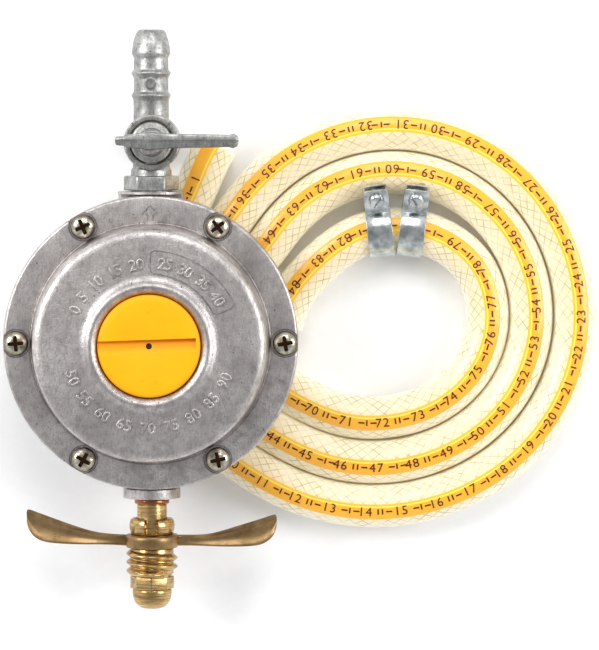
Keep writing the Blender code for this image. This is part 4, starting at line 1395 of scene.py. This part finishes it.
    def screws(self, shop: Shop) -> None:
        """Pan-head cross-recess screws, alike but each stopped at its own turn."""
        low, seat = self.seat_z - 0.7, self.seat_z
        head = Bench.turned("screw", [
            (0, 24.0), (1.45, 24.0), (1.45, low, 0.1), (self.head_r, low, 0.15),
            (self.head_r, seat + 0.7, 0.5), (self.head_r - 0.9, seat + 1.6, 0.9), (1.4, seat + 2.05, 0.8),
            (0, seat + 2.1)], 48)
        outline = []
        for k in range(4):
            turn = Matrix.Rotation(math.pi / 2 * k, 2)
            for spot in ((0.62, -0.62), (2.45, -0.55), (2.45, 0.55)):
                at = turn @ Vector(spot)
                outline.append((at.x, at.y))

        def taper(spot: Vector) -> None:
            """Narrow the recess towards its foot."""
            if spot.z < seat + 1:
                spot.x *= 0.72
                spot.y *= 0.72

        tool = Bench.nudge(Bench.plate("recess", outline, seat + 0.1, seat + 3), taper)
        Bench.carve(head, tool)
        Bench.bevel(head, 0.07, 2, 40.0)
        for k, (angle, turn) in enumerate(zip(self.angles(), self.screw_turns), start=1):
            one = Bench.copy(head, f"pan_screw_{k}")
            stop = Matrix.Rotation(math.radians(turn), 4, "Z")
            Bench.move(one, self.places.round_body() @ self.screw_at(angle) @ stop)
            shop.deliver(one, [f"cover_screw_{k}"], SCREW_PLATE)
        bpy.data.objects.remove(head)

    def cap(self, shop: Shop) -> None:
        """Turn the cap, sink its coin slot and vent, and leave the small moulding marks on its face."""
        top = self.cap_top
        piece = Bench.turned("setting_cap_moulding", [
            (0.85, 42.6), (12.2, 42.6), (12.2, 36.0), (self.cap_r, 36.0), (self.cap_r, top - 0.45, 0.8),
            (self.cap_r - 1.5, top, 1.0), (0.85, top)], 96, True)

        def slope(spot: Vector) -> None:
            """Raise the slot's floor towards -Y and -X, and narrow the slot towards +X."""
            if spot.z < top and spot.y < 0:
                spot.z += 1.25
            if spot.z < top and spot.x < 0:
                spot.z += 0.25
            if spot.x > 0:
                spot.y *= 0.85

        outline = [(-14.0, -2.0), (13.0, -2.0), (13.0, 2.0), (-14.0, 2.0)]
        slot = Bench.nudge(Bench.plate("slot", outline, top - 1.7, top + 2), slope)
        Bench.move(slot, Matrix.Rotation(math.radians(self.slot_turn), 4, "Z"))
        Bench.carve(piece, slot)
        Bench.bevel(piece, 0.16, 2, 45.0)
        dots = []
        for x, y in ((-1.9, -9.2), (1.6, -9.6), (-0.2, 9.8)):
            dot = Bench.turned("dot", [
                (0, top - 0.3), (0.42, top - 0.3), (0.42, top + 0.1, 0.08), (0, top + 0.12)], 20)
            dots.append(Bench.move(dot, Matrix.Translation((x, y, 0))))
        Bench.join(piece, *dots)
        Bench.move(piece, self.places.round_body())
        shop.deliver(piece, ["adjusting_cap"], YELLOW)
        # painted shade: a black pin down the vent's hole, standing in for the dark inside it
        pin = Bench.turned("cap_vent_shade", [(0, 42.4), (0.8, 42.4), (0.8, top - 1.7), (0, top - 1.7)], 24)
        Bench.move(pin, self.places.round_body())
        shop.deliver(pin, ["adjusting_cap"], RUBBER)

    def diaphragm(self, shop: Shop) -> None:
        """Turn the rubber diaphragm, with its rolled fold and the rim that shows between the castings."""
        cloth = Bench.turned("diaphragm_cloth", [
            (2.4, 25.1), (21.0, 25.1, 0.4), (23.0, 26.9, 0.6), (25.5, 27.2, 0.6), (28.0, 26.3, 0.3),
            (40.6, 26.3, 0.2), (40.6, 27.3, 0.2), (28.0, 27.3, 0.3), (25.5, 28.2, 0.6), (22.6, 27.9, 0.6),
            (20.6, 26.1, 0.4), (2.4, 26.1)], 144, True)
        Bench.move(cloth, self.places.round_body())
        shop.deliver(cloth, ["diaphragm"], RUBBER)

    def build(self, shop: Shop) -> None:
        """Make all of the round body."""
        self.cover(shop)
        self.screws(shop)
        self.cap(shop)
        # the dish with its bosses keeps the sharp edges that a trimmed casting has
        shop.refine("lower_body", "lower_casting", ZINC, 0.0)
        self.diaphragm(shop)


# ---------------------------------------------------------------- inlet

@dataclass
class Inlet:
    """Brass stem with its round nose, copper seal, threaded sleeve and the two-bladed wing that turns it."""

    places: Places
    stem_r: float = 4.15
    nose_r: float = 5.5
    nose_end: float = 75.2
    thread_r: float = 7.2
    root_r: float = 6.05
    pitch: float = 2.45
    thread_turns: float = 2.9
    thread_start: float = -58.4
    hub_r: float = 8.3
    wing_t: float = 1.5
    blade_drop: float = 0.4

    def stem(self, shop: Shop) -> None:
        """Turn the stem in one, with its eight-sided collar."""
        end = self.nose_end
        piece = Bench.turned("brass_stem", [
            (1.6, -end + 0.25, 0.2), (2.1, -end, 0.3), (3.5, -end + 0.4, 0.9), (4.75, -end + 1.6, 0.9),
            (5.3, -end + 3.0, 0.8), (self.nose_r, -end + 4.3, 0.6), (self.nose_r, -69.8, 0.5),
            (4.9, -69.45, 0.2), (4.9, -66.0), (self.stem_r, -65.6), (self.stem_r, -45.9), (3.6, -45.9),
            (3.6, -32.6), (1.6, -32.6)], 72, True)
        collar = Bench.turned("collar", [(4.0, -69.5), (6.15, -69.5), (6.15, -66.0), (4.0, -66.0)], 8, True)
        Bench.bevel(collar, 0.22, 3, 30.0)
        Bench.join(piece, collar)
        Bench.move(piece, self.places.gas_line())
        shop.deliver(piece, ["inlet_stem"], BRASS)
        ring = Bench.turned("copper_ring", [
            (3.9, -45.6, 0.3), (4.9, -45.6, 0.45), (4.9, -44.2, 0.45), (3.9, -44.2, 0.3)], 48, True)
        Bench.move(ring, self.places.gas_line())
        shop.deliver(ring, ["stem_gasket"], COPPER)

    def sleeve(self, shop: Shop) -> None:
        """Crown with two lugs, a neck under the wing, and a real spiral thread on its core."""
        core = Bench.turned("threaded_sleeve", [
            (5.0, -49.9, 0.2), (5.7, -49.7, 0.3), (6.35, -50.8, 0.8), (6.35, -52.6, 0.8), (5.9, -54.1, 0.1),
            (5.6, -54.15), (5.6, -58.2), (self.root_r, -58.3), (self.root_r, -65.2, 0.1), (5.5, -65.7, 0.2),
            (4.45, -65.7), (4.45, -52.6), (5.0, -52.6)], 72, True)
        slot = Bench.block("slot", (-1.85, -20, -53.9), (1.85, 20, -48))
        Bench.carve(core, slot)
        Bench.bevel(core, 0.14, 2, 45.0)
        Bench.join(core, self.thread())
        Bench.move(core, self.places.gas_line())
        shop.deliver(core, ["sleeve"], BRASS, 30.0)

    def thread(self) -> bpy.types.Object:
        """Spiral ridge with rounded crest and roots, run out at both ends."""
        root, crest = self.root_r - 0.25, self.thread_r
        outline = [(root, -1.2), (root + 0.3, -1.08), (crest - 0.05, -0.2), (crest, -0.1), (crest, 0.1),
                   (crest - 0.05, 0.2), (root + 0.3, 1.08), (root, 1.2)]
        steps, run_out = 60, 9
        stations = int(self.thread_turns * steps)
        rings = []
        for k in range(stations + 1):
            turn = 2 * math.pi * k / steps
            fade = min(1.0, k / run_out, (stations - k) / run_out)
            rise = self.thread_start - self.pitch * k / steps
            ring = []
            for r, z in outline:
                reach = root + (r - root) * fade
                ring.append((reach * math.cos(turn), reach * math.sin(turn), rise + z))
            rings.append(ring)
        return Loft.through("thread", rings)

    def wing(self, shop: Shop) -> None:
        """One round hub, and two dished blades whose far edge is turned up a little."""
        low, high = -58.0, -54.3
        hub = Bench.turned("wing_nut_pressing", [
            (5.9, low), (7.2, low, 0.5), (self.hub_r - 0.9, low + 0.9, 0.9),
            (self.hub_r - 0.6, high - 1.0, 0.9), (7.3, high, 0.5), (5.9, high)], 96, True)
        Bench.move(hub, self.places.gas_line())
        Bench.join(hub, *[self.blade(side) for side in (-1, 1)])
        shop.deliver(hub, ["wing"], WING_PLATE, 50.0)

    def blade(self, side: int) -> bpy.types.Object:
        """One blade, lofted from its hub end out to its rounded tip.

        Args:
            side: -1 for the blade on -X and 1 for the one on +X.

        Returns:
            The blade, in its place.
        """
        if side < 0:
            stations = [
                (4.0, -57.9, -54.3), (8.0, -57.7, -54.3), (12.0, -57.35, -54.0), (16.2, -57.3, -53.3),
                (20.0, -57.3, -52.0), (24.0, -57.25, -50.6), (28.0, -57.1, -49.15), (30.5, -56.8, -48.25),
                (32.4, -56.0, -47.6), (33.8, -54.7, -47.1), (34.7, -53.2, -46.95), (35.25, -51.2, -47.3)]
        else:
            stations = [
                (4.0, -57.9, -54.3), (8.0, -57.7, -54.3), (12.0, -57.65, -54.3), (15.8, -57.75, -54.0),
                (20.0, -57.9, -52.8), (24.0, -58.0, -51.5), (28.0, -58.0, -50.3), (30.4, -57.7, -49.6),
                (32.2, -56.9, -49.0), (33.6, -55.7, -48.6), (34.5, -54.2, -48.4), (35.05, -52.4, -48.7)]
        half, root, count = self.wing_t / 2, 6.5, 8
        rings = []
        for reach, low, high in stations:
            wide = min(1.0, (reach - root) / 14.0)
            bow = 1.9 * math.sin(math.pi * min(1.0, (reach - root) / 30.0)) ** 2
            front, back = [], []
            for k in range(count + 1):
                t = k / count
                across = low + (high - low) * t
                dish = -1.5 * wide * (4 * t * (1 - t)) + 1.1 * wide * max(0.0, t - 0.72) / 0.28
                edge = half * math.sqrt(max(0.0, 1 - abs(2 * t - 1) ** 6))
                front.append((side * reach, across, dish + bow + edge))
                back.append((side * reach, across, dish + bow - edge))
            rings.append(front + back[-2:0:-1])
        piece = Loft.through("blade", rings)
        Bench.modify(piece, "SUBSURF", levels=2, render_levels=2)
        spot = (0, self.places.body_y, self.places.line_z - self.blade_drop * MM)
        return Bench.move(piece, Matrix.Translation(spot) @ Matrix.Scale(MM, 4))

    def build(self, shop: Shop) -> None:
        """Make all of the inlet."""
        self.stem(shop)
        self.sleeve(shop)
        self.wing(shop)


class Loft:
    """Closed shapes made by extruding one closed ring from station to station."""

    @staticmethod
    def through(name: str, rings: Sequence[Sequence[Sequence[float]]]) -> bpy.types.Object:
        """Draw the first ring, then extrude it and set each new ring on its station.

        Args:
            name: the new piece's name.
            rings: for each station, the places of the ring's corners.

        Returns:
            The closed piece.
        """
        piece = Bench.line(name, list(rings[0]) + [rings[0][0]])
        bpy.ops.mesh.remove_doubles(threshold=0.0005)
        bpy.ops.mesh.select_all(action="SELECT")
        bpy.ops.mesh.edge_face_add()
        shape = bmesh.from_edit_mesh(piece.data)

        def station(corner: bmesh.types.BMVert) -> int:
            """Number of the ring's place that a corner stands on."""
            return min(range(len(rings[0])), key=lambda j: (corner.co - Vector(rings[0][j])).length)

        loop = sorted(shape.faces[:][0].verts, key=station)
        for ring in rings[1:]:
            fresh = [shape.verts.new(Vector(spot)) for spot in ring]
            for k in range(len(loop)):
                n = (k + 1) % len(loop)
                shape.faces.new((loop[k], loop[n], fresh[n], fresh[k]))
            loop = fresh
        shape.faces.new(loop)
        bmesh.update_edit_mesh(piece.data)
        bpy.ops.mesh.select_all(action="SELECT")
        bpy.ops.mesh.normals_make_consistent(inside=False)
        bpy.ops.object.mode_set(mode="OBJECT")
        return piece


# ---------------------------------------------------------------- outlet tap

@dataclass
class Tap:
    """Outlet casting with hexagon, round tap housing and ribbed barb, and the lever that turns its plug."""

    places: Places
    barb_r: float = 4.95
    rib_r: float = 5.5
    barb_end: float = 87.1
    house_r: float = 7.8
    recess_r: float = 6.1
    low_z: float = 13.3
    top_z: float = 28.0
    lever_z: float = 29.4
    lever_h: float = 6.0
    lever_t: float = 3.7
    lever_long: float = 24.2
    lever_short: float = 9.8
    lever_y: float = 0.5

    def casting(self, shop: Shop) -> None:
        """Turn the shank and barb, and add the hexagon, the badge disc and the slotted tap housing."""
        barb, rib, end = self.barb_r, self.rib_r, self.barb_end
        piece = Bench.turned("tap_casting", [
            (2.4, 33.0), (3.6, 33.0), (3.6, 41.7), (5.65, 41.9), (5.65, 48.0, 0.5), (5.1, 48.6, 0.4),
            (5.1, 50.0), (barb, 50.4), (barb, 67.4, 0.5), (rib, 68.5, 0.2), (rib, 69.0, 0.2),
            (barb - 0.1, 69.7, 0.3), (barb - 0.1, 73.6, 0.5), (rib, 74.7, 0.2), (rib, 75.2, 0.2),
            (barb - 0.1, 75.9, 0.3), (barb - 0.1, 79.2, 0.3), (rib - 0.1, 80.3, 0.3), (rib - 0.2, 82.0, 1.0),
            (4.85, 84.4, 1.0), (4.0, 86.5, 0.9), (3.2, end, 0.3), (2.4, end, 0.2)], 72, True)
        badge = Bench.turned("badge", [
            (0, 23.0), (1.75, 23.0), (1.75, 26.2, 0.25), (1.2, 26.3, 0.2), (0, 26.1)], 32)
        Bench.carve(badge, Bench.block("badge_bar", (-0.16, -1.0, 26.0), (0.16, 1.0, 27.0)))
        Bench.move(badge, self.places.round_body() @ Matrix.Translation((0, 72.2, 0)))
        hexagon = Bench.turned("hexagon", [(2.4, 42.2), (7.8, 42.2), (7.8, 46.3), (2.4, 46.3)], 6, True)
        Bench.bevel(hexagon, 0.45, 4, 30.0)
        Bench.move(piece, self.places.gas_line())
        Bench.move(hexagon, self.places.gas_line())
        top = self.top_z
        house = Bench.turned("housing", [
            (4.9, self.low_z, 0.2), (self.house_r, self.low_z, 0.8), (self.house_r, top, 0.5),
            (self.recess_r, top, 0.3), (self.recess_r, top - 2.2, 0.2), (4.9, top - 2.2)], 96, True)
        for turn in (45, 135, 225, 315):
            gap = Bench.block("gap", (self.recess_r - 0.6, -0.3, top - 0.7),
                              (self.house_r + 1, 0.3, top + 1))
            Bench.move(gap, Matrix.Rotation(math.radians(turn + 0.7), 4, "Z"))
            Bench.carve(house, gap)
        Bench.move(house, self.places.tap())
        Bench.join(piece, hexagon, house, badge)
        shop.deliver(piece, ["tap_body"], TAP_ZINC)

    def lever(self, shop: Shop) -> None:
        """Upright flat bar with its parting line, over a low hub with a ring round its foot."""
        half, middle = self.lever_t / 2, self.lever_y
        low, high = self.lever_z, self.lever_z + self.lever_h
        short, long = -self.lever_short, self.lever_long
        rings = []
        for x, pinch in ((short, 0.40), (short + 0.35, 0.62), (short + 2.2, 0.72), (short + 2.8, 0.95),
                         (-5.5, 1.0), (-2.5, 1.22), (0, 1.3), (2.5, 1.22), (5.5, 1.06), (18.0, 0.96),
                         (long - 2.6, 0.88), (long - 1.5, 1.08), (long - 0.35, 0.8), (long, 0.45)):
            w = half * pinch
            foot, head = low + 0.6 * (1 - pinch), high - 0.6 * (1 - pinch)
            outline = [
                (-w, foot + 0.35), (-w + 0.35, foot), (w - 0.35, foot), (w, foot + 0.35),
                (w, head - 0.5), (w - 0.22, head - 0.12), (w - 0.55, head), (0.34, head),
                (0.14, head - 0.3), (-0.14, head - 0.3), (-0.34, head), (-w + 0.55, head),
                (-w + 0.22, head - 0.12), (-w, head - 0.5)]
            rings.append([(x, middle + y, z) for y, z in outline])
        bar = Loft.through("tap_handle", rings)
        hub = Bench.turned("hub", [
            (2.75, 28.9), (5.7, 28.9, 0.3), (5.7, 30.0, 0.3), (5.3, 30.3, 0.3), (4.0, 30.5, 0.3),
            (3.6, high - 2.2, 0.8), (2.6, high - 1.0, 0.8), (0, high - 0.8), (0, 31.8), (2.75, 31.8)], 64)
        Bench.join(bar, hub)
        Bench.move(bar, self.places.tap())
        shop.deliver(bar, ["tap_lever"], TAP_ZINC)

    def build(self, shop: Shop) -> None:
        """Make all of the outlet."""
        self.casting(shop)
        self.lever(shop)


# ---------------------------------------------------------------- studio

@dataclass
class Studio:
    """Plain pale floor, soft boxes left, right and on the far side, pale air, and the camera above."""

    aim: tuple[float, float, float] = (0.0414, -0.0012, 0.025)
    eye: tuple[float, float, float] = (0.040, 0.069, 1.225)
    field_high: float = 0.1814
    film: float = 24.0
    air: str = "#F2F4F7"

    def camera(self) -> None:
        """Set up the long lens that looks down on the set, with +Y up in the picture."""
        data = bpy.data.cameras.new("camera")
        camera = bpy.data.objects.new("camera", data)
        bpy.context.scene.collection.objects.link(camera)
        eye, aim = Vector(self.eye), Vector(self.aim)
        back = (eye - aim).normalized()
        right = Vector((0, 1, 0)).cross(back).normalized()
        up = back.cross(right)
        camera.matrix_world = Matrix.Translation(eye) @ Matrix((right, up, back)).transposed().to_4x4()
        data.sensor_fit = "VERTICAL"
        data.sensor_height = self.film
        data.lens = self.film * (eye - aim).length / self.field_high
        data.clip_end = 20.0
        bpy.context.scene.camera = camera

    def light(self, name: str, spot: Sequence[float], size: float, power: float) -> None:
        """Hang one soft box and aim it at the set.

        Args:
            name: the light's name.
            spot: where it hangs, in metres.
            size: its side, in metres.
            power: its power, in watts.
        """
        data = bpy.data.lights.new(name, "AREA")
        data.shape = "SQUARE"
        data.size = size
        data.energy = power
        lamp = bpy.data.objects.new(name, data)
        bpy.context.scene.collection.objects.link(lamp)
        away = (Vector(spot) - Vector(self.aim)).to_track_quat("Z", "Y")
        lamp.matrix_world = Matrix.Translation(spot) @ away.to_matrix().to_4x4()

    def floor(self) -> None:
        """Lay the pale board that the set lies on."""
        Bench.alone()
        bpy.ops.mesh.primitive_plane_add(size=6.0, location=(0, 0, -0.0002))
        board = bpy.context.object
        board.name = "floor"
        board.data.materials.append(FLOOR.material())

    def build(self) -> None:
        """Set up the floor, the lights and the air, which is brighter near the floor than overhead."""
        self.floor()
        self.light("softbox_left", (-0.95, 0.45, 0.85), 0.6, 10.0)
        self.light("softbox_right", (1.0, 0.15, 0.75), 0.6, 6.5)
        self.light("softbox_top", (0.1, 0.9, 1.1), 0.7, 6.0)
        world = bpy.data.worlds.new("studio_air")
        world.use_nodes = True
        tree = world.node_tree
        ray = add_node(tree, "ShaderNodeTexCoord").outputs["Generated"]
        height = add_node(tree, "ShaderNodeSeparateXYZ", {0: ray}).outputs["Z"]
        glow = Finish.spread(tree, height, 0.95, 0.42, 0.35, 0.95)
        back = tree.nodes["Background"]
        back.inputs[0].default_value = linear(self.air)
        tree.links.new(glow, back.inputs[1])
        bpy.context.scene.world = world
        settings = bpy.context.scene.view_settings
        settings.view_transform = "Standard"
        settings.look = "None"


def main() -> None:
    """Build every piece of the set, in order, and report each."""
    logging.basicConfig(level=logging.INFO, format="%(name)s: %(message)s")
    shop = Shop()
    places = Places.read()
    studio = Studio()
    studio.camera()
    hose = Hose(places)
    tube = hose.build(shop)
    extras = [hose.scale_print(shop)]
    for number, (angle, turn, slot) in enumerate(((-6.2, -0.5, -35.0), (14.6, -7.9, 35.0)), start=1):
        extras += Clamp(number, angle, turn, slot, places).build(shop)
    hose.declare()
    RoundBody(places).build(shop)
    Inlet(places).build(shop)
    Tap(places).build(shop)
    for node, name, slot, finish in (
            ("rear_plug", "rear_plug_turned", "brass", BRASS),
            ("plug_washer", "plug_fibre_ring", "fibre", FIBRE),
            ("tap_plug", "tap_cock_plug", "brass", BRASS),
            ("tap_washer", "tap_plain_washer", "plated_steel", INNER_PLATE),
            ("tap_nut", "tap_hex_nut", "plated_steel", INNER_PLATE)):
        shop.refine(node, name, finish, 0.1)
    for node, finish in (
            ("spring_seat", INNER_PLATE), ("main_spring", SPRING), ("diaphragm_plate", INNER_PLATE),
            ("diaphragm_stem", BRASS), ("inner_lever", INNER_PLATE), ("lever_pin", SPRING),
            ("inlet_nozzle", BRASS), ("valve_holder", BRASS), ("valve_disc", RUBBER),
            ("inlet_filter", COPPER), ("thrust_washer", BRASS), ("tap_seal", RUBBER),
            ("tap_spring", SPRING)):
        shop.dress(node, finish)
    studio.build()
    LOG.info("%d pieces made", len(shop.made))


if __name__ == "__main__":
    main()
